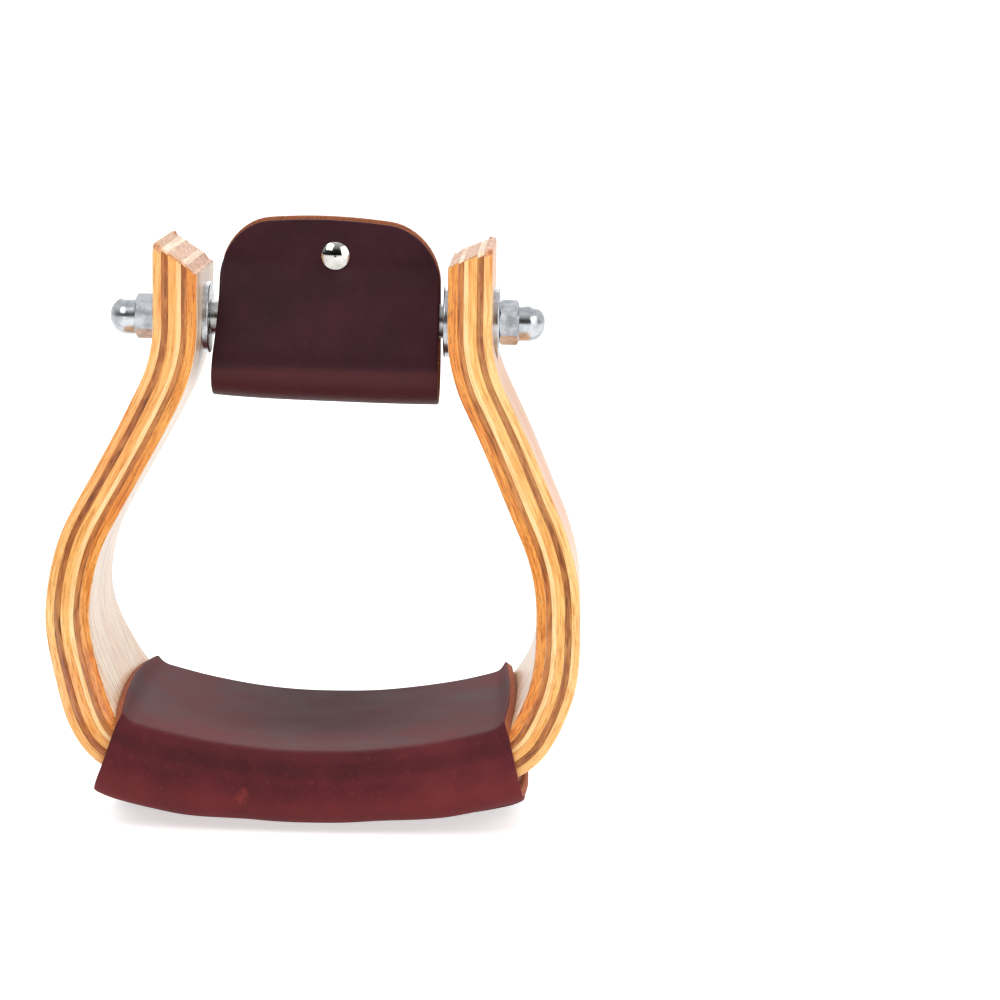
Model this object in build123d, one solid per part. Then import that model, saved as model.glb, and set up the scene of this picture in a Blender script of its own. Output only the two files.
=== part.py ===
from build123d import *
from math import asin, atan2, cos, degrees, hypot, radians, sin, tan
import os

# A western bentwood stirrup. Millimetres and degrees.
# The origin is on the bolt axis, midway between the two legs.
# +X runs along the bolt to the right leg, +Y to the rear and +Z up.

# Bow: one plywood strip bent into a bell, its sizes taken on the middle of the stack
NECK_GAP = 81.5  # clear width between the legs at the bolt
BELLY_WIDTH = 175.8  # over the outsides, where the bow is widest
BOLT_TO_TREAD = 139.0  # bolt axis down to the middle of the wooden tread
LEG_ABOVE_BOLT = 26.7  # straight end of each leg, from the bolt axis up
SHOULDER_RADIUS = 54.0
LEG_SLANT = 26.1
BELLY_TO_HEEL = 32.1  # how far the leg has turned inwards where the heel bend starts
HEEL_RADIUS = 18.0
TREAD_DISH = 15.8  # angle at which the dished tread meets each heel
LEFT_END_BEVEL = 34.0
RIGHT_END_BEVEL = 22.0

# Plies, from the outside of the bow inwards
PLIES = (
    ("outer_face_ply", 2.9),
    ("outer_cross_ply", 2.1),
    ("amber_core_ply", 2.7),
    ("cream_core_ply", 1.6),
    ("inner_cross_ply", 1.8),
    ("inner_face_ply", 3.4),
)

# Side outline of the bow, sawn narrow at the neck and flared at the tread
NECK_WIDTH = 56.4
NECK_TAPER = 3.0  # degrees that each side closes in on the way down
TREAD_WIDTH = 100.0
FLARE_ANGLE = 32.0
FLARE_RADIUS = 105.0
FLARE_END_RISE = 10.0  # the corner where the flare reaches full width, above the tread
FLARE_CORNER_RADIUS = 12.0
END_CORNER_RADIUS = 5.0

# Bolt set
STUD_DIAMETER = 8.0
STUD_IN_NUT = 10.0
STUD_POINT = 0.8
HOLE_CLEARANCE = 0.5
THREAD_CLEARANCE = 0.02
WASHER_DIAMETER = 24.0
WASHER_CLEARANCE = 0.2
WASHER_THICKNESS = 2.0
WASHER_ROUND = 0.5
SEAT_CLEARANCE = 0.4  # of the spot face round each outer washer
NUT_FLATS = 13.0
NUT_HEX_HEIGHT = 6.5
NUT_HEIGHT = 15.0
NUT_DOME_DIAMETER = 12.4
NUT_DOME_ROUND = 5.7
NUT_CHAMFER = 30.0
ROLLER_WALL = 1.67
ROLLER_CLEARANCE = 0.08
ROLLER_END_PLAY = 0.3

# Leather sleeve round the roller
SLEEVE_LEATHER = 2.8
SLEEVE_CLEARANCE = 0.3  # between the roller and the sides of the sleeve
SLEEVE_END_PLAY = 1.15
SLEEVE_FOLD_ROOM = 17.75  # between the roller and the bottom of the fold
FLAP_ABOVE_RIVET = 12.0
BACK_FLAP_EXTRA = 1.5
FLAP_CORNER_RADIUS = 17.0
FLAP_CROWN = 3.2
FLAP_CROWN_RADIUS = 150.0
FLAP_JOIN_RISE = 14.25  # from the top of the roller up to where the two flaps come together
FLAP_BEND_RADIUS = 6.0
FLAP_GAP = 0.1
RIVET_RISE = 1.4  # rivet above the point where the flaps come together
RIVET_OFFSET = 2.6
RIVET_CAP_DIAMETER = 9.2
RIVET_CAP_HEIGHT = 2.0
RIVET_CAP_RIM = 0.6
RIVET_POST_DIAMETER = 3.4

# Leather tread cover and its seam strips
COVER_LEATHER = 3.1
COVER_FIT = 0.1
COVER_END_REACH = 6.2  # end of the cover past the centre of the heel bend
COVER_END_LEAN = 18.9
COVER_TOP_ROUND = 2.2
COVER_BOTTOM_ROUND = 5.0
SEAM_OFFSET = -5.5  # butt joint, forward of the middle
SEAM_GAP = 0.3
STRIP_WIDTH = 43.0
INNER_STRIP_THICKNESS = 1.9
STRIP_AIR = 1.8  # between the wood and the inner strip, where the cover hangs
OUTER_STRIP_THICKNESS = 2.6
STRIP_SETBACK = 1.5  # ends of the strips, inside the ends of the cover

# Worked out from the sizes above
STACK = sum(thickness for _, thickness in PLIES)
LEG_X = (NECK_GAP + STACK) / 2
BELLY_X = (BELLY_WIDTH - STACK) / 2
HEEL_TURN = 90 - TREAD_DISH - BELLY_TO_HEEL
WASHER_SEAT = NECK_GAP / 2 + STACK
NUT_SEAT = WASHER_SEAT + WASHER_THICKNESS
ROLLER_BORE = STUD_DIAMETER + 2 * ROLLER_CLEARANCE
ROLLER_DIAMETER = ROLLER_BORE + 2 * ROLLER_WALL
ROLLER_LENGTH = NECK_GAP - 2 * WASHER_THICKNESS - 2 * ROLLER_END_PLAY
SLEEVE_WIDTH = NECK_GAP - 2 * WASHER_THICKNESS - 2 * SLEEVE_END_PLAY
SLEEVE_FOLD_DROP = ROLLER_DIAMETER / 2 + SLEEVE_FOLD_ROOM + SLEEVE_LEATHER
FLAP_FACE = SLEEVE_LEATHER + FLAP_GAP / 2
FLAP_JOIN_HEIGHT = ROLLER_DIAMETER / 2 + FLAP_JOIN_RISE
RIVET_HEIGHT = FLAP_JOIN_HEIGHT + RIVET_RISE
FLAP_HEIGHT = RIVET_HEIGHT + FLAP_ABOVE_RIVET
COVER_SLACK = INNER_STRIP_THICKNESS + STRIP_AIR
COVER_INSIDE = STACK / 2 + COVER_SLACK
COVER_OUTSIDE = COVER_INSIDE + COVER_LEATHER
BEYOND = 20.0  # how far cutting shapes run past the work


def solve_bow():
    """Slanted run and belly radius that give both the belly width and the tread depth."""
    slant = radians(LEG_SLANT)
    heel = radians(BELLY_TO_HEEL)
    dish = radians(TREAD_DISH)
    half_dish = tan(dish / 2)
    across = BELLY_X - LEG_X - SHOULDER_RADIUS * (1 - cos(slant))
    down = BOLT_TO_TREAD + STACK / 2 - SHOULDER_RADIUS * sin(slant)
    down -= HEEL_RADIUS * (cos(dish) - sin(heel) + (sin(dish) - cos(heel)) * half_dish)
    down -= BELLY_X * half_dish
    belly_across = 1 - cos(slant)
    belly_down = sin(slant) + sin(heel) - (1 - cos(heel)) * half_dish
    scale = sin(slant) * belly_down - cos(slant) * belly_across
    run = (across * belly_down - down * belly_across) / scale
    radius = (down * sin(slant) - across * cos(slant)) / scale
    return run, radius


SLANT_RUN, BELLY_RADIUS = solve_bow()
HEEL_X = BELLY_X - (BELLY_RADIUS - (BELLY_RADIUS - HEEL_RADIUS) * cos(radians(BELLY_TO_HEEL)))
TREAD_RADIUS = (HEEL_X + HEEL_RADIUS * sin(radians(TREAD_DISH))) / sin(radians(TREAD_DISH))
HEEL_Z = (
    -BOLT_TO_TREAD
    - STACK / 2
    + TREAD_RADIUS
    - (TREAD_RADIUS - HEEL_RADIUS) * cos(radians(TREAD_DISH))
)

# The middle line of the bow from the top of the right leg to the top of the left leg.
# Each step is a straight run (length, 0) or a bend (radius, turn).
HALF_BOW = (
    (LEG_ABOVE_BOLT, 0),
    (SHOULDER_RADIUS, LEG_SLANT),
    (SLANT_RUN, 0),
    (BELLY_RADIUS, -LEG_SLANT - BELLY_TO_HEEL),
    (HEEL_RADIUS, -HEEL_TURN),
)
BOW = HALF_BOW + ((TREAD_RADIUS, -2 * TREAD_DISH),) + HALF_BOW[::-1]


def chain(start, heading, steps, offset):
    """Tangent lines and arcs, moved sideways by offset to the left of the way they run."""
    angle = radians(heading)
    x = start[0] - offset * sin(angle)
    y = start[1] + offset * cos(angle)
    edges = []
    for size, turn in steps:
        if turn == 0:
            end = (x + size * cos(angle), y + size * sin(angle))
            edges.append(Line((x, y), end))
        else:
            side = 1 if turn > 0 else -1
            radius = side * size - offset
            middle = angle + radians(turn) / 2
            last = angle + radians(turn)
            centre = (x - radius * sin(angle), y + radius * cos(angle))
            through = (centre[0] + radius * sin(middle), centre[1] - radius * cos(middle))
            end = (centre[0] + radius * sin(last), centre[1] - radius * cos(last))
            edges.append(ThreePointArc((x, y), through, end))
            angle = last
        x, y = end
    return edges


def band(start, heading, steps, right, left):
    """Flat face between two offsets of one chain."""
    one = chain(start, heading, steps, right)
    other = chain(start, heading, steps, left)
    ends = [Line(one[-1] @ 1, other[-1] @ 1), Line(one[0] @ 0, other[0] @ 0)]
    return make_face(Wire(one + other + ends))


def bow_band(inner, outer):
    """Face of the bow between two offsets, in the XZ plane."""
    return Plane.XZ * band((LEG_X, LEG_ABOVE_BOLT), -90, BOW, inner, outer)


def slab(face, half_width):
    """Solid of a face carried the same way to both sides of its plane."""
    return extrude(face, amount=half_width, both=True)


def side_outline():
    """Waisted and flared outline of the bow seen along the bolt, in the YZ plane."""
    taper = tan(radians(NECK_TAPER))
    flare = tan(radians(FLARE_ANGLE))
    half_tread = TREAD_WIDTH / 2
    flare_end = FLARE_END_RISE - BOLT_TO_TREAD
    drop = half_tread - NECK_WIDTH / 2 + taper * LEG_ABOVE_BOLT + flare * flare_end
    waist_z = drop / (flare + taper)
    waist_y = NECK_WIDTH / 2 - taper * (LEG_ABOVE_BOLT - waist_z)
    floor = -BOLT_TO_TREAD - STACK - BEYOND
    half = FilletPolyline(
        (0, LEG_ABOVE_BOLT),
        (NECK_WIDTH / 2, LEG_ABOVE_BOLT),
        (waist_y, waist_z),
        (half_tread, flare_end),
        (half_tread, floor),
        (0, floor),
        radius=[END_CORNER_RADIUS, FLARE_RADIUS, FLARE_CORNER_RADIUS, END_CORNER_RADIUS],
    )
    return Plane.YZ * make_face(Wire(half.edges() + mirror(half, Plane.YZ).edges()))


def end_bevel(side, angle):
    """Block that trims the top of one leg, down towards the inside of the bow."""
    top = Vector(side * (NECK_GAP / 2 + STACK), 0, LEG_ABOVE_BOLT)
    block = Pos(0, 0, BEYOND) * Box(4 * BEYOND, TREAD_WIDTH, 2 * BEYOND)
    return Pos(*top) * Rot(0, -side * angle, 0) * block


def rod(diameter, low, high):
    """Round bar along the bolt axis."""
    return Pos((low + high) / 2, 0, 0) * Rot(0, 90, 0) * Cylinder(diameter / 2, high - low)


def bolt_cuts():
    """Bolt holes and the flat seats under the outer washers."""
    reach = BELLY_WIDTH / 2 + BEYOND
    cuts = rod(STUD_DIAMETER + HOLE_CLEARANCE, -reach, reach)
    for side in (-1, 1):
        low, high = sorted((side * WASHER_SEAT, side * (WASHER_SEAT + BEYOND)))
        cuts += rod(WASHER_DIAMETER + 2 * SEAT_CLEARANCE, low, high)
    return cuts


def plies():
    """Every ply of the bow, from the outside in, with its name."""
    outline = slab(side_outline(), BELLY_WIDTH / 2 + BEYOND)
    trims = bolt_cuts() + end_bevel(1, RIGHT_END_BEVEL) + end_bevel(-1, LEFT_END_BEVEL)
    outer = STACK / 2
    for name, thickness in PLIES:
        blank = slab(bow_band(outer - thickness, outer), TREAD_WIDTH / 2 + BEYOND)
        yield name, (blank & outline) - trims
        outer -= thickness


def washer(face, side):
    """Plain washer with its flat side on face and its rounded side away from the leg."""
    low, high = sorted((face, face + side * WASHER_THICKNESS))
    ring = rod(WASHER_DIAMETER, low, high)
    rim = ring.edges().sort_by(Axis.X)[-1 if side > 0 else 0]
    return fillet(rim, WASHER_ROUND) - rod(STUD_DIAMETER + 2 * WASHER_CLEARANCE, low, high)


def acorn_nut(side):
    """Dome nut with a chamfered hexagon and a blind threaded hole, its seat towards the leg."""
    hexagon = extrude(RegularPolygon(NUT_FLATS / 2, 6, major_radius=False), NUT_HEX_HEIGHT)
    corner = NUT_FLATS / 2 / cos(radians(30))
    slope = tan(radians(NUT_CHAMFER))
    drop = (corner - NUT_DOME_DIAMETER / 2) * slope
    turned = Polyline(
        (0, 0),
        (NUT_FLATS / 2, 0),
        (corner, (corner - NUT_FLATS / 2) * slope),
        (corner, NUT_HEX_HEIGHT - drop),
        (NUT_DOME_DIAMETER / 2, NUT_HEX_HEIGHT),
        (0, NUT_HEX_HEIGHT),
        close=True,
    )
    hexagon &= revolve(Plane.XZ * make_face(turned), Axis.Z)
    dome = Pos(0, 0, NUT_HEX_HEIGHT) * Cylinder(
        NUT_DOME_DIAMETER / 2,
        NUT_HEIGHT - NUT_HEX_HEIGHT,
        align=(Align.CENTER, Align.CENTER, Align.MIN),
    )
    dome = fillet(dome.edges().group_by(Axis.Z)[-1], NUT_DOME_ROUND)
    hole = Cylinder(
        STUD_DIAMETER / 2 + THREAD_CLEARANCE,
        STUD_IN_NUT + STUD_POINT,
        align=(Align.CENTER, Align.CENTER, Align.MIN),
    )
    return Pos(side * NUT_SEAT, 0, 0) * Rot(0, side * 90, 0) * (hexagon + dome - hole)


def threaded_stud():
    """Stud right across the neck, pointed at both ends, hidden in the nuts and the roller."""
    half = NUT_SEAT + STUD_IN_NUT
    stud = rod(STUD_DIAMETER, -half, half)
    return chamfer(stud.edges().filter_by(GeomType.CIRCLE), STUD_POINT)


def roller():
    """Steel tube that turns on the stud between the inner washers."""
    half = ROLLER_LENGTH / 2
    return rod(ROLLER_DIAMETER, -half, half) - rod(ROLLER_BORE, -half, half)


def flap_outline(extra):
    """Front outline of the sleeve with crowned top and round corners, in the XZ plane."""
    half = SLEEVE_WIDTH / 2
    top = FLAP_HEIGHT + extra
    floor = -SLEEVE_FOLD_DROP - BEYOND
    sides = FilletPolyline(
        (-half, floor),
        (-half, top - FLAP_CROWN),
        (0, top),
        (half, top - FLAP_CROWN),
        (half, floor),
        radius=[FLAP_CORNER_RADIUS, FLAP_CROWN_RADIUS, FLAP_CORNER_RADIUS],
    )
    return Plane.XZ * make_face(Wire(sides.edges() + [Line((half, floor), (-half, floor))]))


def sleeve_wall():
    """Teardrop section of the folded leather, from flap to flap, in the YZ plane."""
    top = FLAP_HEIGHT + FLAP_CROWN + BEYOND
    aside = FLAP_FACE + FLAP_BEND_RADIUS
    # the straight side leans out so that it just clears the roller, tangent to the flap bend
    face = ROLLER_DIAMETER / 2 + SLEEVE_CLEARANCE + SLEEVE_LEATHER
    lean = asin((face + FLAP_BEND_RADIUS) / hypot(aside, FLAP_JOIN_HEIGHT))
    lean -= atan2(aside, FLAP_JOIN_HEIGHT)
    # the fold is tangent to both sides and to its own lowest point
    fold_radius = (face + SLEEVE_FOLD_DROP * sin(lean)) / (1 + sin(lean))
    rise = FLAP_JOIN_HEIGHT + SLEEVE_FOLD_DROP - fold_radius
    straight = (rise**2 + aside**2 - (fold_radius + FLAP_BEND_RADIUS) ** 2) ** 0.5
    lean = degrees(lean)
    steps = (
        (top - FLAP_JOIN_HEIGHT, 0),
        (FLAP_BEND_RADIUS, lean),
        (straight, 0),
        (fold_radius, -180 - 2 * lean),
        (straight, 0),
        (FLAP_BEND_RADIUS, lean),
        (top - FLAP_JOIN_HEIGHT, 0),
    )
    return Plane.YZ * band((FLAP_FACE, top), -90, steps, -SLEEVE_LEATHER, 0)


def rivet_bed():
    """Hole through both flaps, and the room where each cap presses the leather flat."""
    bed = Cylinder(RIVET_POST_DIAMETER / 2, 2 * FLAP_FACE)
    for side in (-1, 1):
        height = FLAP_FACE + RIVET_CAP_HEIGHT / 2
        bed += Pos(0, 0, side * height) * Cylinder(RIVET_CAP_DIAMETER / 2, RIVET_CAP_HEIGHT)
    return Pos(RIVET_OFFSET, 0, RIVET_HEIGHT) * Rot(90, 0, 0) * bed


def bolt_sleeve():
    """Leather folded under the roller, its back flap a little higher than its front one."""
    wall = slab(sleeve_wall(), SLEEVE_WIDTH)
    front = extrude(flap_outline(0), SLEEVE_FOLD_DROP)
    back = extrude(flap_outline(BACK_FLAP_EXTRA), -SLEEVE_FOLD_DROP)
    return (wall & (front + back)) - rivet_bed()


def rivet_cap(side):
    """Low domed cap with a straight rim, seated on one face of the joined flaps."""
    radius = RIVET_CAP_DIAMETER / 2
    crown = RIVET_CAP_HEIGHT - RIVET_CAP_RIM
    sphere_radius = (radius**2 + crown**2) / (2 * crown)
    cap = Cylinder(radius, RIVET_CAP_HEIGHT, align=(Align.CENTER, Align.CENTER, Align.MIN))
    cap &= Pos(0, 0, RIVET_CAP_HEIGHT - sphere_radius) * Sphere(sphere_radius)
    return Pos(RIVET_OFFSET, side * FLAP_FACE, RIVET_HEIGHT) * Rot(-side * 90, 0, 0) * cap


def rivet_post():
    """Tubular rivet body through both flaps, between the caps."""
    post = Cylinder(RIVET_POST_DIAMETER / 2, 2 * FLAP_FACE)
    return Pos(RIVET_OFFSET, 0, RIVET_HEIGHT) * Rot(90, 0, 0) * post


def tread_block(setback):
    """Block that keeps the stretch of the bow under the leather cover, its ends leaning out."""
    depth = 3 * BEYOND + STACK
    top = HEEL_X + COVER_END_REACH - setback
    bottom = top + depth * tan(radians(COVER_END_LEAN))
    face = Polyline(
        (-top, HEEL_Z), (top, HEEL_Z), (bottom, HEEL_Z - depth), (-bottom, HEEL_Z - depth), close=True
    )
    return slab(Plane.XZ * make_face(face), TREAD_WIDTH)


def round_cover(cover, offset, radius):
    """Round the long edges of the cover that follow the bow at this offset."""
    bends = (BELLY_RADIUS + offset, HEEL_RADIUS + offset, TREAD_RADIUS + offset)
    edges = [
        edge
        for edge in cover.edges().filter_by(GeomType.CIRCLE)
        if min(abs(edge.radius - bend) for bend in bends) < COVER_FIT
    ]
    return fillet(edges, radius)


def tread_cover():
    """Leather wrapped round the tread, its edges meeting in a butt joint underneath."""
    over = -STACK / 2 - COVER_FIT
    half_inside = TREAD_WIDTH / 2 + COVER_FIT
    outside = slab(bow_band(over - COVER_LEATHER, COVER_OUTSIDE), half_inside + COVER_LEATHER)
    outside &= tread_block(-2 * BEYOND)
    outside = round_cover(outside, over - COVER_LEATHER, COVER_TOP_ROUND)
    outside = round_cover(outside, COVER_OUTSIDE, COVER_BOTTOM_ROUND)
    outside &= tread_block(0)
    inside = slab(bow_band(over, COVER_INSIDE), half_inside)
    seam = slab(bow_band(COVER_INSIDE - SEAM_GAP, COVER_OUTSIDE + SEAM_GAP), SEAM_GAP / 2)
    return outside - inside - Pos(0, SEAM_OFFSET, 0) * seam


def seam_strip(inside, outside):
    """Strip of leather along the butt joint, between two offsets of the bow."""
    strip = slab(bow_band(inside, outside), STRIP_WIDTH / 2) & tread_block(STRIP_SETBACK)
    return Pos(0, SEAM_OFFSET, 0) * strip


def main():
    """Write every piece of the stirrup to its own file."""
    pieces = dict(plies())
    pieces["threaded_stud"] = threaded_stud()
    pieces["roller"] = roller()
    for name, side in (("left", -1), ("right", 1)):
        pieces[f"{name}_inner_washer"] = washer(side * NECK_GAP / 2, -side)
        pieces[f"{name}_outer_washer"] = washer(side * WASHER_SEAT, side)
        pieces[f"{name}_acorn_nut"] = acorn_nut(side)
    pieces["bolt_sleeve"] = bolt_sleeve()
    pieces["rivet_front_cap"] = rivet_cap(-1)
    pieces["rivet_back_cap"] = rivet_cap(1)
    pieces["rivet_post"] = rivet_post()
    pieces["tread_cover"] = tread_cover()
    pieces["inner_seam_strip"] = seam_strip(COVER_INSIDE - INNER_STRIP_THICKNESS, COVER_INSIDE)
    pieces["outer_seam_strip"] = seam_strip(COVER_OUTSIDE, COVER_OUTSIDE + OUTER_STRIP_THICKNESS)

    os.makedirs("parts", exist_ok=True)
    for name, piece in pieces.items():
        export_step(piece, f"parts/{name}.step")
        print(name, round(piece.volume, 1))


main()
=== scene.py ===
"""Bentwood western stirrup: wood, leather, metal and studio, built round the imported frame."""

import logging
import math
from collections.abc import Sequence
from dataclasses import dataclass
from enum import Enum

import bpy
import numpy as np
from mathutils import Matrix, Vector, noise


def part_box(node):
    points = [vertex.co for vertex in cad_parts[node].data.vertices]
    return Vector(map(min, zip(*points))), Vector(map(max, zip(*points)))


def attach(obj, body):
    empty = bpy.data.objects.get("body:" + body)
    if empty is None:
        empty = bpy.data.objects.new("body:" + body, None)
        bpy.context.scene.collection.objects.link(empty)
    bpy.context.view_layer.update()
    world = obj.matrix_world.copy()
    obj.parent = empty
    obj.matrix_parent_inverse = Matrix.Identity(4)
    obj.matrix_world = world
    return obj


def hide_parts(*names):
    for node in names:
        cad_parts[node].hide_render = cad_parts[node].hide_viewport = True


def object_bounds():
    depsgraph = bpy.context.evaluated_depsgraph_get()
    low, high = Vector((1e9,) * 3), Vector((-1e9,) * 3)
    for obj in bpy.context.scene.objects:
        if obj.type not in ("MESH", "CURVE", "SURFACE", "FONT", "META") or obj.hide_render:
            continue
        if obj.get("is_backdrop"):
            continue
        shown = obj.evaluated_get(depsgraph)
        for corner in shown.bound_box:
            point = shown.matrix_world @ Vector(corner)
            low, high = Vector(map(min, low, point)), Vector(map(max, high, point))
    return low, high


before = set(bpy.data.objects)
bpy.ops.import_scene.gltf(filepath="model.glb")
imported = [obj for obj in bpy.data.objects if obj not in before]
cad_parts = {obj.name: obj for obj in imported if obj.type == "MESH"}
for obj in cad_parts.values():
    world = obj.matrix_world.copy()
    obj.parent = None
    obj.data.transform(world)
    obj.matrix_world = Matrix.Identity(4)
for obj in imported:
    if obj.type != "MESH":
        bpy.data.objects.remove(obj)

MM = 0.001
LOG = logging.getLogger("stirrup")
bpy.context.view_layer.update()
WOOD_EDGE = 32.0  # degrees; sharper edges stay crisp
LEATHER_EDGE = 50.0
ROUND_STEPS = (0.0, 0.1, 0.35, 1.0)  # stations over a rounded edge, in its radii
PLY_END_STEPS = (0, 0.15, 0.4, 0.8, 1.3, 2, 3, 4, 5.2)  # stations near a ply's end, in mm

# Sockets of a Mix node that mixes colours
MIX_FACTOR = 0
MIX_A = 6
MIX_B = 7
MIX_RESULT = 2

Tree = bpy.types.NodeTree
Socket = bpy.types.NodeSocket
Piece = bpy.types.Object
Links = dict[str | int, Socket]
Settings = dict[str | int, object]
Ramp = Sequence[tuple[float, str]]


class Body(Enum):
    """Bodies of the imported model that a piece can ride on."""

    STIRRUP = "stirrup"
    SLEEVE = "sleeve"


class Cut(Enum):
    """Faces of a ply, by the way that they lie to the strip."""

    FACE = 0
    SIDE = 1
    END = 2


class Hide(Enum):
    """Faces of a piece of leather."""

    GRAIN = 0
    FLESH = 1
    RAW_EDGE = 2


# ---------------------------------------------------------------- nodes and colours


def linear(code: str) -> tuple[float, float, float, float]:
    """Turn an sRGB hex colour into linear light.

    Args:
        code: Colour as six hex digits after a hash.

    Returns:
        Linear red, green and blue, and an alpha of one.
    """
    parts = [int(code[i:i + 2], 16) / 255 for i in (1, 3, 5)]
    light = [p / 12.92 if p <= 0.04045 else ((p + 0.055) / 1.055) ** 2.4 for p in parts]
    return (light[0], light[1], light[2], 1.0)


def add_node(
    tree: Tree,
    kind: str,
    settings: Settings | None = None,
    links: Links | None = None,
) -> bpy.types.Node:
    """Add one node with its settings and the links into it.

    Args:
        tree: Node tree that takes the node.
        kind: Blender's identifier of the node.
        settings: Values by socket, or by property of the node.
        links: Sockets that feed the node's own sockets.

    Returns:
        The new node.
    """
    node = tree.nodes.new(kind)
    own = {key for key in settings or {} if isinstance(key, str) and hasattr(node, key)}
    for key in sorted(own):
        setattr(node, key, settings[key])
    for key, value in (settings or {}).items():
        if key not in own:
            node.inputs[key].default_value = value
    for key, source in (links or {}).items():
        tree.links.new(source, node.inputs[key])
    return node


def add_ramp(
    tree: Tree, factor: Socket, stops: Ramp
) -> Socket:
    """Add a colour ramp.

    Args:
        tree: Node tree that takes the ramp.
        factor: Socket with the place on the ramp.
        stops: Places and hex colours, in order.

    Returns:
        The colour socket.
    """
    node = add_node(tree, "ShaderNodeValToRGB", links={"Fac": factor})
    elements = node.color_ramp.elements
    while len(elements) < len(stops):
        elements.new(1.0)
    for element, (place, code) in zip(elements, stops):
        element.position = place
        element.color = linear(code)
    return node.outputs["Color"]


def add_noise(
    tree: Tree, place: Socket, scale: float, detail: float,
    roughness: float = 0.5,
) -> bpy.types.Node:
    """Add a noise texture that follows the given places."""
    return add_node(tree, "ShaderNodeTexNoise",
                    {"Scale": scale, "Detail": detail, "Roughness": roughness}, {"Vector": place})


def add_scaled(
    tree: Tree, place: Socket, scale: tuple[float, float, float]
) -> Socket:
    """Return places multiplied by a scale for each axis."""
    node = add_node(tree, "ShaderNodeMapping", {"Scale": scale}, {"Vector": place})
    return node.outputs["Vector"]


def add_attribute(tree: Tree, name: str, output: str) -> Socket:
    """Return one output of an attribute that is stored with the mesh."""
    return add_node(tree, "ShaderNodeAttribute", {"attribute_name": name}).outputs[output]


def add_range(
    tree: Tree, value: Socket, low: float, high: float,
    bottom: float = 0.0, top: float = 1.0,
) -> Socket:
    """Return a value moved from one range to another, and held at both ends."""
    return add_node(tree, "ShaderNodeMapRange", {"From Min": low, "From Max": high,
                                                 "To Min": bottom, "To Max": top},
                    {"Value": value}).outputs["Result"]


def add_sum(
    tree: Tree, operation: str, *terms: float | Socket
) -> Socket:
    """Work out one sum.

    Args:
        tree: Node tree that takes the sum.
        operation: Blender's name of the operation.
        terms: Numbers and sockets, in the order of the node's own sockets.

    Returns:
        The result's socket.
    """
    numbers = {place: term for place, term in enumerate(terms) if isinstance(term, float)}
    sockets = {place: term for place, term in enumerate(terms) if place not in numbers}
    return add_node(tree, "ShaderNodeMath", {"operation": operation, **numbers},
                    sockets).outputs["Value"]


def add_blend(
    tree: Tree, share: Socket, under: Socket, over: str,
    way: str = "MIX",
) -> Socket:
    """Lay a hex colour over another colour.

    Args:
        tree: Node tree that takes the blend.
        share: How much of the hex colour counts, nought to one.
        under: Colour that it is laid over.
        over: The hex colour.
        way: Blender's name of the way that they mix.

    Returns:
        The blended colour.
    """
    node = add_node(tree, "ShaderNodeMix",
                    {"data_type": "RGBA", "blend_type": way, MIX_B: linear(over)},
                    {MIX_FACTOR: share, MIX_A: under})
    return node.outputs[MIX_RESULT]


def add_relief(
    tree: Tree, height: Socket, strength: float, distance: float
) -> Socket:
    """Return a normal raised by a height."""
    return add_node(tree, "ShaderNodeBump", {"Strength": strength, "Distance": distance},
                    {"Height": height}).outputs["Normal"]


def set_shader(
    tree: Tree, shader: bpy.types.Node, sources: dict[str, Socket],
    values: dict[str, object],
) -> None:
    """Feed a shader's sockets, and set the rest to plain numbers.

    Args:
        tree: Node tree of the shader.
        shader: The shader.
        sources: Sockets that feed it, by name.
        values: Numbers and plain colours, by socket name.
    """
    for name, source in sources.items():
        tree.links.new(source, shader.inputs[name])
    for name, value in values.items():
        shader.inputs[name].default_value = value


# ---------------------------------------------------------------- finishes


@dataclass(frozen=True)
class Finish:
    """A named surface finish that makes its own material once."""

    name: str

    def material(self) -> bpy.types.Material:
        """Make the finish's material on first use.

        Returns:
            The material.
        """
        found = bpy.data.materials.get(self.name)
        if found:
            return found
        made = bpy.data.materials.new(self.name)
        made.use_nodes = True
        tree = made.node_tree
        self.dress(tree, tree.nodes["Principled BSDF"])
        return made

    def dress(self, tree: Tree, shader: bpy.types.Node) -> None:
        """Set up the shader and its pattern."""
        raise NotImplementedError


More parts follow.
